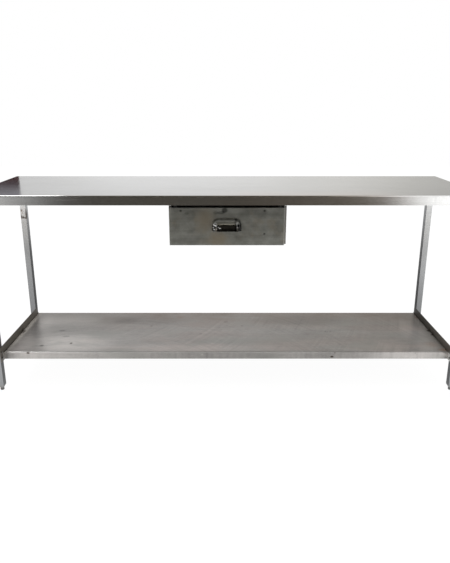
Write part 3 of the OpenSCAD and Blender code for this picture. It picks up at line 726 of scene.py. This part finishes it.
def end_steel():
    finish = Finish("shelf_end_steel")
    x, y, z, ease, fade, mix = finish.x, finish.y, finish.z, finish.ease, finish.fade, finish.mix
    _, bands, streaks, hair, clouds = brushing(finish, "Y", 120.0)
    change = bands * 0.12 + streaks * 0.14 + hair * 0.12 + clouds * 0.30
    # Painted shade: the right plate darker towards the back, lighter at the front.
    right = ease(x, *LEFT_TO_RIGHT) * (ease(y, -0.26, 0.20) * 0.85 - 0.30)
    colour = tone(finish, END_BROWN_AND_SHADE, change - right)
    speckled = ease(finish.blotch(60, 3, 0.6, 127), 0.60, 0.70)
    colour = mix(speckled * 0.25, colour, RUST)
    colour = mix(marks(finish, NEAR_WELD, 0.8) * 0.8, colour, BURNT)
    low = fade(z, 0.1715, 0.1745) * (clouds * 0.8 + 0.85)
    rubbed = ease(y, -0.251, -0.249) * fade(y, -0.238, -0.235) * low * fade(x, *LEFT_TO_RIGHT)
    hazy = fade(y, -0.237, -0.234) * low * ease(x, *LEFT_TO_RIGHT)
    colour = mix(rubbed + hazy, colour, mix(hazy, RUBBED_COLOUR, HAZY_COLOUR))
    rough = 0.42 + clouds * 0.2 + streaks * 0.10 + hazy * 0.2
    return finish.close(colour, rough, hair + streaks * 0.5, BRUSHED, 1.0 - hazy * 0.8)


# %% [markdown]
# ## The legs and rails
#
# Square tube is brushed lengthwise, so on the legs the brushing stands upright. Mops and boots leave the
# lowest 30 cm rougher and paler. Towards the worktop the tube is painted lighter, as painted light, and the
# left legs, the low parts and the faces that look inwards are painted darker, as painted shade. The back
# left leg has rust specks and dark rusty scratches some way below the worktop. Two functions would say
# most of this twice, so one makes the finish of the legs and of the rails, from the direction of the grain.

# %% Tube finish
FRAME_COLOUR = (0.283, 0.288, 0.294, 1)

on_leg = flat_marks(1, 0.249, 0.02)
SPECKS = on_leg((-1.027, 0.725, 0.025, 0.035, 1))
RUSTED = on_leg((-1.040, 0.703, 0.007, 0.016, 1), (-1.030, 0.700, 0.008, 0.009, 1),
                (-1.013, 0.715, 0.007, 0.038, 0.85), (-1.036, 0.738, 0.010, 0.007, 0.6),
                (-1.020, 0.698, 0.008, 0.007, 0.8))


def tube_steel(name, along, seed):
    finish = Finish(name)
    x, z, ease, fade = finish.x, finish.z, finish.ease, finish.fade
    _, bands, streaks, hair, clouds = brushing(finish, along, seed)
    scuffs = finish.cloud(24, 4, 0.6, seed + 17)
    mopped = fade(z, 0.05, 0.30)
    change = bands * 0.12 + streaks * 0.16 + hair * 0.14 + clouds * 0.16 + scuffs * 0.12 + mopped * 0.22
    # Painted light: the tube lighter towards the worktop, more on the left legs.
    upper = (ease(z, 0.50, 0.70) * ease(x, *LEFT_TO_RIGHT, 0.70, 0.48)
             + ease(z, 0.66, 0.80) * ease(x, *LEFT_TO_RIGHT, 1.10, 0.38))
    # Painted shade: darker on the left legs and low down, most low on the right.
    dim = (ease(x, *LEFT_TO_RIGHT, 0.10, 0.02) + ease(z, 0.30, 0.55, 0.05, 0.0)
           + ease(x, *LEFT_TO_RIGHT) * ease(z, 0.22, 0.62, 0.15, 0.0))
    # Painted shade: faces that look inwards are darker.
    inward = ease(finish.parts(finish.facing)[0] * x, -0.5, -0.3, 0.60, 0.0)
    colour = tone(finish, FRAME_COLOUR, change + upper - dim - inward)
    speck = ease(finish.blotch(240, 2, 0.5, seed + 29), 0.58, 0.63)
    colour = finish.mix(speck * marks(finish, SPECKS, 0.8) * 0.9, colour, RUST)
    colour = finish.mix(marks(finish, RUSTED, 0.8), colour, BURNT)
    rough = 0.28 + clouds * 0.14 + scuffs * 0.16 + mopped * 0.10
    return finish.close(colour, rough, hair + streaks * 0.5, BRUSHED)


# %% [markdown]
# ## Small metal
#
# Cast and turned pieces have no brushing, so they get fine grain in all directions. Weld metal goes from
# light to dark brown with heat. The pull's chrome is worn dull on the top of the hood, where hands rest, and
# polished on the skirt. The skirt's colour is painted dark, as a painted reflection of the unlit room in
# front of it, with painted white glints near its left end, and both ends of the pull are painted darker,
# as painted shade. Chrome with one roughness all over would look new, so the height on the pull decides
# which of the two it is.


# %% Cast, turned and welded metal
def small_metal(name, colour, dull, grainy, seed):
    finish = Finish(name)
    grains = finish.cloud(900, 3, 0.6, seed)
    worn = finish.cloud(90, 3, 0.6, seed + 5)
    toned = tone(finish, colour, worn * 0.35 + grains * grainy)
    rough = dull + worn * (0.25 * dull) + grains * (0.2 * dull)
    return finish.close(toned, rough, grains, 0.0002 * grainy)


def weld_metal():
    finish = Finish("weld_metal")
    heat = finish.blotch(160, 3, 0.6, 5)
    colour = finish.mix(finish.ease(heat, 0.35, 0.65), (0.11, 0.08, 0.06, 1), (0.05, 0.04, 0.035, 1))
    return finish.close(colour, heat * 0.4 + 0.3, heat, 0.0001)


# %% Chrome of the pull
# The skirt's colour is painted dark, as a painted reflection of the unlit room in front.
SKIRT_PAINTED_DARK, DULL_CHROME = (0.128, 0.125, 0.122, 1), (0.62, 0.625, 0.585, 1)
PAINTED_GLINT_WHITE = (0.80, 0.80, 0.78, 1)
HOOD_FROM = (0.775, 0.782)

on_pull = flat_marks(1, -0.300, 0.03)
# Painted white glints near the left end of the skirt, and a faint one on the right.
PAINTED_GLINT_SPOTS = on_pull((-0.0510, 0.7765, 0.009, 0.0035, 0.9), (-0.0445, 0.7740, 0.010, 0.0045, 1),
               (-0.0325, 0.7680, 0.006, 0.0035, 0.8), (-0.0265, 0.7635, 0.009, 0.0050, 1),
               (-0.0540, 0.7650, 0.005, 0.0035, 0.7), (-0.0500, 0.7580, 0.007, 0.0035, 0.6),
               (-0.0400, 0.7600, 0.006, 0.0030, 0.5), (0.0470, 0.7660, 0.010, 0.0040, 0.35))


def pull_chrome():
    finish = Finish("pull_chrome")
    worn = finish.cloud(90, 3, 0.6, 28)
    hood = finish.ease(finish.z, *HOOD_FROM)
    painted_glint = marks(finish, PAINTED_GLINT_SPOTS, 0.9) * finish.ease(finish.blotch(300, 2, 0.6, 8), 0.25, 0.45)
    # Painted shade: both ends of the pull darker, the right one more.
    painted_dark_ends = finish.ease(finish.x, 0.030, 0.040) * 0.72 + finish.ease(finish.x, -0.044, -0.034, 0.30, 0.0)
    colour = tone(finish, finish.mix(hood, SKIRT_PAINTED_DARK, DULL_CHROME), painted_dark_ends * -1.0)
    colour = finish.mix(painted_glint, tone(finish, colour, worn * 0.35), PAINTED_GLINT_WHITE)
    return finish.close(colour, hood * 0.25 + worn * 0.04 + painted_glint * 0.5 + 0.08, worn, 0.0002, 1.0 - painted_glint)


# %% [markdown]
# ## Dressing the solids
#
# Each finish is made once and shared by all the pieces that have it. Every solid could be given its finish
# by its full name, but the names already tell what kind of piece each one is. So a table says which start
# of a name gets which finish. The first start that fits counts, and the longer ones stand first.

# %% All the finishes
finishes = {
    "worktop": worktop_steel(),
    "shelf": shelf_steel(),
    "drawer": drawer_steel(),
    "ends": end_steel(),
    "legs": tube_steel("leg_steel", "Z", 160.0),
    "rails": tube_steel("rail_steel", "X", 190.0),
    "housing": sheet_steel("housing_steel", (0.34, 0.335, 0.32), 0.4, 210.0),
    "hidden": sheet_steel("hidden_steel", (0.42, 0.42, 0.41), 0.38, 220.0),
    "fasteners": small_metal("fastener_steel", (0.27, 0.27, 0.26), 0.32, 0.10, 3),
    "inserts": small_metal("insert_cast", (0.30, 0.30, 0.30), 0.45, 0.22, 13),
    "chrome": pull_chrome(),
    "feet": small_metal("foot_steel", (0.16, 0.16, 0.155), 0.35, 0.12, 33),
    "rivets": small_metal("rivet_steel", (0.07, 0.07, 0.065), 0.5, 0.15, 43),
    "welds": weld_metal(),
}
print({name: len(material.node_tree.nodes) for name, material in finishes.items()})

# %% Which node has which finish
FINISH_BY_START = {
    "worktop_stiffeners": "hidden", "worktop": "worktop", "leg_insert": "inserts", "leg_": "legs",
    "top_rail": "rails", "shelf_end": "ends", "shelf_stiffener": "hidden", "shelf_bolts": "fasteners",
    "shelf": "shelf", "housing_screws": "fasteners", "housing": "housing", "runner_stop": "fasteners",
    "runner": "housing", "drawer_box": "drawer", "drawer_front": "drawer", "drawer_handle": "chrome",
    "": "fasteners",
}

for name, part in nodes.items():
    start = next(start for start in FINISH_BY_START if name.startswith(start))
    for place in part.material_slots:
        place.material = finishes[FINISH_BY_START[start]]
print("dressed", len(nodes), "nodes")

# %% [markdown]
# ## The small pieces
#
# The solids carry the right places and main sizes of the small pieces, but a screw there is a plain
# cylinder. Each is modelled again here with what a close look shows: chamfers, threads, recesses and
# rounded rims. All of them start in millimetres at the origin, and what is round has its axis along Z, as
# on a lathe, so that the numbers of a piece can be read as on its drawing. A last step turns each one,
# puts it in its place and scales it to metres.

# %% Placing a piece
MM = 0.001
TURN = 2 * math.pi
SHARP = math.radians(38)
SAME = 0.001
CLOSE = 1e-4

TO_FRONT = Matrix.Rotation(QUARTER, 4, "X")
TO_BACK = Matrix.Rotation(-QUARTER, 4, "X")
TO_RIGHT = Matrix.Rotation(QUARTER, 4, "Y")
TO_LEFT = Matrix.Rotation(-QUARTER, 4, "Y")
ALONG_Y = Matrix.Rotation(QUARTER, 4, "Z")
TOP_DOWN = Matrix.Rotation(math.pi, 4, "X")
UPRIGHT = Matrix.Identity(4)


def copies(bm, places):
    """The same small mesh at several places, each a turn and a point in millimetres."""
    whole = bmesh.new()
    mesh = bpy.data.meshes.new("part")
    bm.to_mesh(mesh)
    bm.free()
    for turn, place in places:
        before = set(whole.verts)
        whole.from_mesh(mesh)
        new = [v for v in whole.verts if v not in before]
        bmesh.ops.transform(whole, matrix=Matrix.Translation(place) @ turn, verts=new)
    bpy.data.meshes.remove(mesh)
    return whole


def together(whole, *parts):
    """Several meshes as one."""
    for part in parts:
        mesh = bpy.data.meshes.new("part")
        part.to_mesh(mesh)
        part.free()
        whole.from_mesh(mesh)
        bpy.data.meshes.remove(mesh)
    return whole


def piece(name, bm, body, slot, finish, *stands_for):
    """An object made from a mesh in millimetres, riding on its body."""
    bmesh.ops.scale(bm, verts=bm.verts, vec=(MM, MM, MM))
    mesh = bpy.data.meshes.new(name)
    bm.to_mesh(mesh)
    bm.free()
    mesh.polygons.foreach_set("use_smooth", [True] * len(mesh.polygons))
    mesh.set_sharp_from_angle(angle=SHARP)
    mesh.materials.append(finishes[finish])
    made = bpy.data.objects.new(name, mesh)
    bpy.context.scene.collection.objects.link(made)
    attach(made, body)
    if stands_for:
        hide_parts(*stands_for)
    print(name, len(mesh.polygons), "faces")


# %% [markdown]
# A turned piece is a profile swept once round its axis. The profile is a chain of points, each a radius
# and a height, and the spin operator sweeps it. Where the profile touches the axis, the swept points fall
# together, so the doubles are merged afterwards. A screw thread is the same spin with a climb: the profile
# of one ridge goes round many times and rises by the pitch on each turn, so each turn closes on the last.


# %% Turned and threaded shapes
def merged(bm):
    bmesh.ops.remove_doubles(bm, verts=bm.verts, dist=SAME)
    bmesh.ops.recalc_face_normals(bm, faces=bm.faces)
    return bm


def spun(bm, points, angle, steps, **how):
    """A chain of points, each a radius and a height, swept round Z."""
    verts = [bm.verts.new((r, 0, z)) for r, z in points]
    edges = [bm.edges.new(pair) for pair in zip(verts, verts[1:])]
    bmesh.ops.spin(bm, geom=verts + edges, cent=(0, 0, 0), axis=(0, 0, 1), angle=angle, steps=steps, **how)


def turned(points, steps=32):
    bm = bmesh.new()
    spun(bm, points, TURN, steps, use_merge=True)
    return merged(bm)


def arc(centre_r, centre_z, radius, start, end, steps=6):
    """Points of an arc, with its angles in degrees from the outward direction."""
    angles = [math.radians(start + (end - start) * i / steps) for i in range(steps + 1)]
    return [(centre_r + radius * math.cos(a), centre_z + radius * math.sin(a)) for a in angles]


def threaded(low, high, crest, root, pitch, steps=20):
    """A threaded rod from one height to another, closed at both ends."""
    bm = bmesh.new()
    flat = pitch / 8
    ridge = [(root, 0), (root, flat), (crest, pitch / 2), (crest, pitch / 2 + flat), (root, pitch)]
    turns = int((high - low) / pitch) - 1
    spun(bm, ridge, TURN * turns, steps * turns, dvec=(0, 0, pitch / steps))
    bmesh.ops.remove_doubles(bm, verts=bm.verts, dist=SAME)
    bmesh.ops.holes_fill(bm, edges=bm.edges)
    bmesh.ops.recalc_face_normals(bm, faces=bm.faces)
    bmesh.ops.translate(bm, verts=bm.verts, vec=(0, 0, low + (high - low - pitch * (turns + 1)) / 2))
    return bm


# %% Bevel as the editor has it
def bevelled(bm, geom, offset, segments, affect="EDGES", clamp_overlap=False):
    bmesh.ops.bevel(bm, geom=geom, offset=offset, offset_type="OFFSET", affect=affect, segments=segments,
                    profile=0.5, material=-1, clamp_overlap=clamp_overlap)


# %% [markdown]
# ## The feet
#
# A bullet foot is a short turned cylinder with a rounded nose, on a threaded stem. A leveller turns it by
# hand. It is turned from one profile: the nose's rounding, the side with a shallow groove, a chamfer at
# the top, and the neck up to the thread. The stem disappears in the insert, and shows only when the foot
# is screwed out, but then its thread is what the eye looks for, so it is a real one and not a bump.

# %% Bullet feet
FOOT_R, FOOT_H, FOOT_ROUND = 8.75, 13.0, 4.0
GROOVE_LOW, GROOVE_HIGH, GROOVE_SLOPE, GROOVE_DEEP = 7.6, 9.2, 0.4, 0.5
SHOULDER, NECK, TIP, TIP_CHAMFER = 1.0, 2.5, 3.0, 0.6
STEM_R, STEM_ROOT, STEM_TOP, THREAD_PITCH = 5.0, 4.35, 49.0, 1.5
LEG_X, LEG_Y = 1027.0, 264.0
CORNERS = {"front_left": (-1, -1), "front_right": (1, -1), "back_left": (-1, 1), "back_right": (1, 1)}


def bullet_foot():
    nose = arc(FOOT_R - FOOT_ROUND, FOOT_ROUND, FOOT_ROUND, -90, 0, 8)
    groove = [(FOOT_R, GROOVE_LOW), (FOOT_R - GROOVE_DEEP, GROOVE_LOW + GROOVE_SLOPE),
              (FOOT_R - GROOVE_DEEP, GROOVE_HIGH - GROOVE_SLOPE), (FOOT_R, GROOVE_HIGH)]
    shoulder = [(FOOT_R, FOOT_H - SHOULDER), (FOOT_R - SHOULDER, FOOT_H), (STEM_ROOT, FOOT_H),
                (STEM_ROOT, FOOT_H + NECK), (0, FOOT_H + NECK)]
    tip = [(0, STEM_TOP - TIP), (STEM_ROOT, STEM_TOP - TIP), (STEM_ROOT, STEM_TOP - TIP_CHAMFER),
           (STEM_ROOT - TIP_CHAMFER, STEM_TOP), (0, STEM_TOP)]
    stem = threaded(FOOT_H + 1, STEM_TOP - 1, STEM_R, STEM_ROOT, THREAD_PITCH)
    return together(turned([(0, 0)] + nose + groove + shoulder, 40), stem, turned(tip))


for corner, (sx, sy) in CORNERS.items():
    foot = copies(bullet_foot(), [(UPRIGHT, (sx * LEG_X, sy * LEG_Y, 0))])
    piece("bullet_foot_" + corner, foot, "foot_" + corner, "foot_steel", "feet", "foot_" + corner)

# %% [markdown]
# ## The leg inserts
#
# Between the square tube and the round foot sits a cast insert that changes shape from square to round. A
# box cut down to a cone would leave creases. So two rings with the same number of points, one a square with
# rounded corners and one a circle, are bridged into a smooth taper. A vertex bevel rounds the corners of
# the square ring. More rings lead up into the tube and back down through the bore, so the insert is one
# closed ring of walls.

# %% Square to round inserts
TUBE, TUBE_R, LEG_BOTTOM = 30.0, 2.5, 27.0
RIM_H, TAPER_R, BORE_R, PLUG_L, PLUG_SIDE = 2.0, 9.5, 5.05, 25.0, 26.6
CORNER_STEPS = 7
STEP = 0.01
EIGHTH = Matrix.Rotation(TURN / 8, 4, "Z")


def wires_at(bm, z):
    return [e for e in bm.edges if all(abs(v.co.z - z) < CLOSE for v in e.verts) and e.is_wire]


def square_ring(bm, side, z):
    ring = bmesh.ops.create_circle(bm, segments=4, radius=side / math.sqrt(2),
                                   matrix=Matrix.Translation((0, 0, z)) @ EIGHTH)
    bevelled(bm, ring["verts"], TUBE_R, CORNER_STEPS, "VERTICES")
    return wires_at(bm, z)


def round_ring(bm, radius, z):
    bmesh.ops.create_circle(bm, segments=4 * (CORNER_STEPS + 1), radius=radius,
                            matrix=Matrix.Translation((0, 0, z)) @ EIGHTH)
    return wires_at(bm, z)


def leg_insert():
    bm = bmesh.new()
    plug_top = LEG_BOTTOM + PLUG_L
    rings = [round_ring(bm, BORE_R, FOOT_H + STEP), round_ring(bm, TAPER_R - 0.5, FOOT_H),
             round_ring(bm, TAPER_R, FOOT_H + 1.0), square_ring(bm, TUBE, LEG_BOTTOM - RIM_H),
             square_ring(bm, TUBE, LEG_BOTTOM), square_ring(bm, PLUG_SIDE, LEG_BOTTOM + STEP),
             square_ring(bm, PLUG_SIDE, plug_top), round_ring(bm, BORE_R, plug_top + STEP)]
    for lower, upper in zip(rings, rings[1:] + rings[:1]):
        bmesh.ops.bridge_loops(bm, edges=lower + upper)
    bmesh.ops.recalc_face_normals(bm, faces=bm.faces)
    return bm


for corner, (sx, sy) in CORNERS.items():
    insert = copies(leg_insert(), [(UPRIGHT, (sx * LEG_X, sy * LEG_Y, 0))])
    piece("square_insert_" + corner, insert, "frame", "insert_cast", "inserts", "leg_insert_" + corner)

# %% [markdown]
# ## The cup pull
#
# The pull is a pressed and chromed cup: a dome over a straight skirt, open below and behind. Half of it is
# enough to model. A quarter arc and a straight line make the section at the middle. Extruding it gives the
# straight part, a quarter spin gives the rounded end, and a mirror gives the other half. Solidify then
# gives the sheet its thickness, and a bevel rounds the open rim that fingers feel. A subdivided box would
# be quicker, but its dome and its wall would only be nearly round and nearly even.

# %% Cup pull
CUP_W, CUP_H, CUP_DEPTH, CUP_WALL = 124.0, 50.0, 28.0, 1.6
CUP_PLACE = (2.0, -285.0, 749.0)
RIM_EDGE, RIM_ROUND = 1.2, 0.6
FACES_STRAIGHT = 0.9
SCREW_PITCH, SCREW_RISE, SCREW_REACH, SCREW_R = 76.0, 18.0, 10.0, 1.75
POST_R, POST_CLEARANCE = 4.0, 0.1


def only_verts(geom):
    return [g for g in geom if isinstance(g, bmesh.types.BMVert)]


def cup_half():
    """The right half of the cup, as a sheet without thickness."""
    bm = bmesh.new()
    side = CUP_W / 2 - CUP_DEPTH
    top = bm.verts.new((0, 0, CUP_H))
    swept = bmesh.ops.spin(bm, geom=[top], cent=(0, 0, CUP_H - CUP_DEPTH), axis=(1, 0, 0), angle=QUARTER,
                           steps=14)
    low = only_verts(swept["geom_last"])
    for drop in (CUP_H - CUP_DEPTH - RIM_EDGE, RIM_EDGE):
        low = bmesh.ops.extrude_vert_indiv(bm, verts=low)["verts"]
        bmesh.ops.translate(bm, verts=low, vec=(0, 0, -drop))
    moved = only_verts(bmesh.ops.extrude_edge_only(bm, edges=bm.edges[:])["geom"])
    bmesh.ops.translate(bm, verts=moved, vec=(side, 0, 0))
    end = [e for e in bm.edges if all(abs(v.co.x - side) < CLOSE for v in e.verts)]
    bmesh.ops.spin(bm, geom=moved + end, cent=(side, 0, 0), axis=(0, 0, 1), angle=QUARTER, steps=16)
    bmesh.ops.remove_doubles(bm, verts=bm.verts, dist=SAME)
    return bm


def cup_shell():
    bm = cup_half()
    bmesh.ops.mirror(bm, geom=bm.verts[:] + bm.edges[:] + bm.faces[:], axis="X", merge_dist=SAME)
    merged(bm)
    if not any(f.normal.y < -FACES_STRAIGHT for f in bm.faces):
        bmesh.ops.reverse_faces(bm, faces=bm.faces)
    bmesh.ops.solidify(bm, geom=bm.faces, thickness=CUP_WALL)
    bmesh.ops.recalc_face_normals(bm, faces=bm.faces)
    rim = [e for e in bm.edges if all(v.co.z < SAME for v in e.verts)
           and any(f.normal.z > -FACES_STRAIGHT for f in e.link_faces)
           and any(f.normal.z < -FACES_STRAIGHT for f in e.link_faces)]
    bevelled(bm, rim, RIM_ROUND, 3, clamp_overlap=True)
    return bm


def post():
    """A post inside the cup for one screw, with a blind bore."""
    bore, top = SCREW_R + POST_CLEARANCE, CUP_DEPTH - CUP_WALL / 2
    return turned([(bore, 0), (POST_R, 0), (POST_R, top), (0, top), (0, SCREW_REACH), (bore, SCREW_REACH),
                   (bore, 0)], 24)


posts = copies(post(), [(TO_FRONT, (side * SCREW_PITCH / 2, 0, SCREW_RISE)) for side in (-1, 1)])
pull = copies(together(cup_shell(), posts), [(UPRIGHT, CUP_PLACE)])
piece("cup_pull", pull, "drawer", "handle_chrome", "chrome", "drawer_handle")

# %% [markdown]
# ## Screws, bolts and rivets
#
# The shelf's end plates are held by hexagon bolts with a washer, and so is the drawer's housing. A
# six-sided cone operator makes the head, and its outer edges get a chamfer. The pull's screws have a pan
# head with a crossed recess inside the drawer. The three blind rivets in the drawer front have a low dome
# with the broken end of the pin in the middle. All of them are turned round their axis, and each kind is
# made once and copied to its places.

# %% Hexagon bolts
BOLT_R, BOLT_FLATS, BOLT_HEAD, BOLT_REACH, BOLT_CHAMFER = 3.0, 10.0, 4.0, 12.0, 0.5
WASHER, WASHER_R, WASHER_EDGE = 0.8, 5.7, 0.25
END_SHEET, SHELF_SHEET, CHEEK_SHEET = 1.5, 1.2, 1.5
LEG_FACE = 1012.0
BOLT_HIGH, BOLT_LOW = 186, 157
HOUSING_X, HANGER_X, RAIL_UNDER = 6.0, 246.0, 868.5


def hexagon(flats, low, high, chamfer):
    bm = bmesh.new()
    corner = flats / math.sqrt(3)
    bmesh.ops.create_cone(bm, cap_ends=True, segments=6, radius1=corner, radius2=corner, depth=high - low,
                          matrix=Matrix.Translation((0, 0, (low + high) / 2)))
    bevelled(bm, [e for e in bm.edges if all(v.co.z < low + SAME for v in e.verts)], chamfer, 2)
    return bm


def hex_bolt(stack):
    """A bolt along Z: its head below the sheets, its shank through them and the tube's wall."""
    end = stack + BOLT_REACH
    head = hexagon(BOLT_FLATS, -BOLT_HEAD, -WASHER, BOLT_CHAMFER)
    washer = turned([(0, -WASHER), (WASHER_R - WASHER_EDGE, -WASHER), (WASHER_R, -WASHER + WASHER_EDGE),
                     (WASHER_R, 0), (0, 0)])
    shank = turned([(0, -1), (BOLT_R, -1), (BOLT_R, end - BOLT_CHAMFER), (BOLT_R - BOLT_CHAMFER, end),
                    (0, end)], 24)
    return together(head, washer, shank)


shelf_bolts = []
for side, turn in ((-1, TO_LEFT), (1, TO_RIGHT)):
    for stack, y, z in ((END_SHEET, -LEG_Y, BOLT_HIGH), (END_SHEET, -LEG_Y, BOLT_LOW),
                        (END_SHEET + SHELF_SHEET, LEG_Y, BOLT_LOW)):
        shelf_bolts.append(copies(hex_bolt(stack), [(turn, (side * (LEG_FACE - stack), y, z))]))
piece("hex_bolts_shelf", together(*shelf_bolts), "frame", "fastener_steel", "fasteners", "shelf_bolts")

hangers = [(UPRIGHT, (HOUSING_X + sx * HANGER_X, sy * LEG_Y, RAIL_UNDER - CHEEK_SHEET))
           for sx in (-1, 1) for sy in (-1, 1)]
piece("hex_bolts_housing", copies(hex_bolt(CHEEK_SHEET), hangers), "frame", "fastener_steel", "fasteners",
      "housing_screws")

# %% Pan heads and stop screws
RECESS_ARM, RECESS_WIDTH, RECESS_DEPTH = 1.7, 0.22, 0.55
HEAD_ROUND, SHANK_CHAMFER = 0.8, 0.4
PULL_HEAD, STOP_HEAD = (3.5, 2.4), (3.0, 3.6)
NUT_FLATS, NUT_H, NUT_CHAMFER = 3.0 * math.sqrt(3), 2.4, 0.01
WALL_STACK = 2.4
RUNNER_FLOOR, STOP_X, STOP_Y, RUNNER_SHEET = 832.7, 225.0, -257.7, 1.5


def cross_recess(bm, face, width, depth):
    """A crossed recess in a flat round face, bridged from the face's own edge."""
    rim = face.edges[:]
    z = face.calc_center_median().z
    down = -face.normal.z * depth
    bm.faces.remove(face)
    a, b = width / 2, width * RECESS_ARM
    outline = [(b, -a), (b, a), (a, a), (a, b), (-a, b), (-a, a), (-b, a), (-b, -a), (-a, -a), (-a, -b),
               (a, -b), (a, -a)]
    verts = [bm.verts.new((x, y, z)) for x, y in outline]
    ring = [bm.edges.new(pair) for pair in zip(verts, verts[1:] + verts[:1])]
    bmesh.ops.bridge_loops(bm, edges=rim + ring)
    bottom = only_verts(bmesh.ops.extrude_edge_only(bm, edges=ring)["geom"])
    bmesh.ops.translate(bm, verts=bottom, vec=(0, 0, down))
    loop = [e for e in bm.edges if e.is_boundary and all(v in bottom for v in e.verts)]
    bmesh.ops.edgeloop_fill(bm, edges=loop)
    bmesh.ops.recalc_face_normals(bm, faces=bm.faces)


def pan_screw(head_r, head_h, end):
    """A pan head below z = 0 with a crossed recess, and its shank above."""
    radius = head_h * HEAD_ROUND
    crown = arc(head_r - radius, radius - head_h, radius, -90, 0, 5)
    bm = turned([(0, -head_h)] + crown + [(head_r, 0), (SCREW_R, 0), (SCREW_R, end - SHANK_CHAMFER),
                                          (SCREW_R - SHANK_CHAMFER, end), (0, end)], 24)
    middle = min(bm.verts, key=lambda v: (v.co.z, v.co.xy.length))
    bmesh.ops.dissolve_verts(bm, verts=[middle])
    face = min(bm.faces, key=lambda f: f.calc_center_median().z)
    cross_recess(bm, face, head_r * RECESS_WIDTH, head_h * RECESS_DEPTH)
    return bm


def stop_screw():
    """Head up on the runner's floor, nut under it. Along -Z, so that it is turned over when placed."""
    end = RUNNER_SHEET + NUT_H
    return together(pan_screw(*STOP_HEAD, end), hexagon(NUT_FLATS, RUNNER_SHEET, end, NUT_CHAMFER))


screws = [(TO_FRONT, (CUP_PLACE[0] + side * SCREW_PITCH / 2, CUP_PLACE[1] + WALL_STACK,
                      CUP_PLACE[2] + SCREW_RISE)) for side in (-1, 1)]
piece("pan_screws_pull", copies(pan_screw(*PULL_HEAD, WALL_STACK + SCREW_REACH), screws), "drawer",
      "fastener_steel", "fasteners", "handle_screws")

stops = [(TOP_DOWN, (HOUSING_X + side * STOP_X, STOP_Y, RUNNER_FLOOR)) for side in (-1, 1)]
piece("stop_screws", copies(stop_screw(), stops), "frame", "fastener_steel", "fasteners",
      "runner_stop_screws")

# %% Blind rivets
RIVET_R, RIVET_HEAD_R, RIVET_HEAD_H, RIVET_TAIL, RIVET_TAIL_R = 1.6, 3.0, 1.2, 1.4, 1.4
RIVETS = [(-189.0, 832.0), (159.0, 832.0), (159.0, 734.0)]
BROKEN_PIN = [(0, -0.75), (0.75, -0.75), (0.75, -0.45), (0.85, -0.45)]
LOW_DOME = [(0.95, -RIVET_HEAD_H), (1.6, -1.08), (2.3, -0.8), (2.8, -0.4), (RIVET_HEAD_R, -0.1)]


def blind_rivet():
    tail = arc(RIVET_TAIL_R, WALL_STACK + RIVET_TAIL / 2, RIVET_TAIL / 2, -90, 90, 6)
    return turned(BROKEN_PIN + LOW_DOME + [(RIVET_HEAD_R, 0), (RIVET_R, 0), (RIVET_R, WALL_STACK)] + tail
                  + [(0, WALL_STACK + RIVET_TAIL)], 28)


piece("blind_rivets", copies(blind_rivet(), [(TO_BACK, (x, CUP_PLACE[1], z)) for x, z in RIVETS]), "drawer",
      "fastener_steel", "rivets", "drawer_rivets")

# %% [markdown]
# ## Welds
#
# The shelf is tacked to its end plates, and the rails are welded to the legs. A tack weld is a small
# flattened drop. A weld seam is a row of overlapping ripples. A ball, squashed and pushed about a little by
# seeded noise, makes the tack, and a row of tilted discs makes the seam. A bump on a plain bead would be
# cheaper, but welds stand proud of the sheet and show at its edge.

# %% Tack welds
TACKS = [(-1, 20), (1, 20), (1, -31), (-1, -205), (1, -205), (-1, 238), (1, 238)]
TACK_SIZE, TACK_IN = (2.6, 5.0, 1.8), 1.4
SHELF_TOP, END_FACE = 174.0, 1010.5
LUMPY, ROUGH = 0.10, 0.02


def tack(seed):
    chance = random.Random(seed)
    bm = bmesh.new()
    bmesh.ops.create_icosphere(bm, subdivisions=3, radius=1)
    for v in bm.verts:
        lump = LUMPY * math.sin(3 * v.co.x + seed) * math.cos(4 * v.co.y)
        v.co *= 1 + lump + chance.uniform(-ROUGH, ROUGH)
    bmesh.ops.smooth_vert(bm, verts=bm.verts, factor=0.5, use_axis_x=True, use_axis_y=True, use_axis_z=True)
    bmesh.ops.scale(bm, verts=bm.verts, vec=TACK_SIZE)
    return bm


tacks = together(*[copies(tack(i), [(UPRIGHT, (side * (END_FACE - TACK_IN), y, SHELF_TOP))])
                   for i, (side, y) in enumerate(TACKS)])
piece("tack_welds", tacks, "frame", "shelf_end_steel", "welds")

# %% Weld seams
SEAM_LENGTH, RIPPLE, RIPPLE_LEAN, RIPPLE_BEVEL = 25, 1.6, 0.3, 0.3
RIPPLE_WIDE, RIPPLE_NARROW, RIPPLE_THICK = 1.7, 1.4, 1.5


def seam(length):
    """A seam along X, from the middle, of ripples that lean back."""
    bm = bmesh.new()
    count = int(length / RIPPLE)
    bmesh.ops.create_cone(bm, cap_ends=True, segments=12, radius1=RIPPLE_WIDE, radius2=RIPPLE_NARROW,
                          depth=RIPPLE_THICK, matrix=Matrix.Rotation(QUARTER - RIPPLE_LEAN, 4, "Y"))
    round_edges = [e for e in bm.edges if any(len(f.verts) > 4 for f in e.link_faces)]
    bevelled(bm, round_edges, RIPPLE_BEVEL, 2)
    return copies(bm, [(UPRIGHT, ((i - (count - 1) / 2) * RIPPLE, 0, 0)) for i in range(count)])


seams = []
for sx, sy in CORNERS.values():
    beside = sy * (LEG_Y - TUBE / 2)
    seams += [(ALONG_Y, (sx * LEG_FACE, sy * LEG_Y, RAIL_UNDER)),
              (TO_RIGHT, (sx * LEG_FACE, beside, RAIL_UNDER + TUBE / 2)),
              (UPRIGHT, (sx * LEG_X, beside, RAIL_UNDER))]
piece("weld_seams", copies(seam(SEAM_LENGTH), seams), "frame", "frame_steel", "welds")
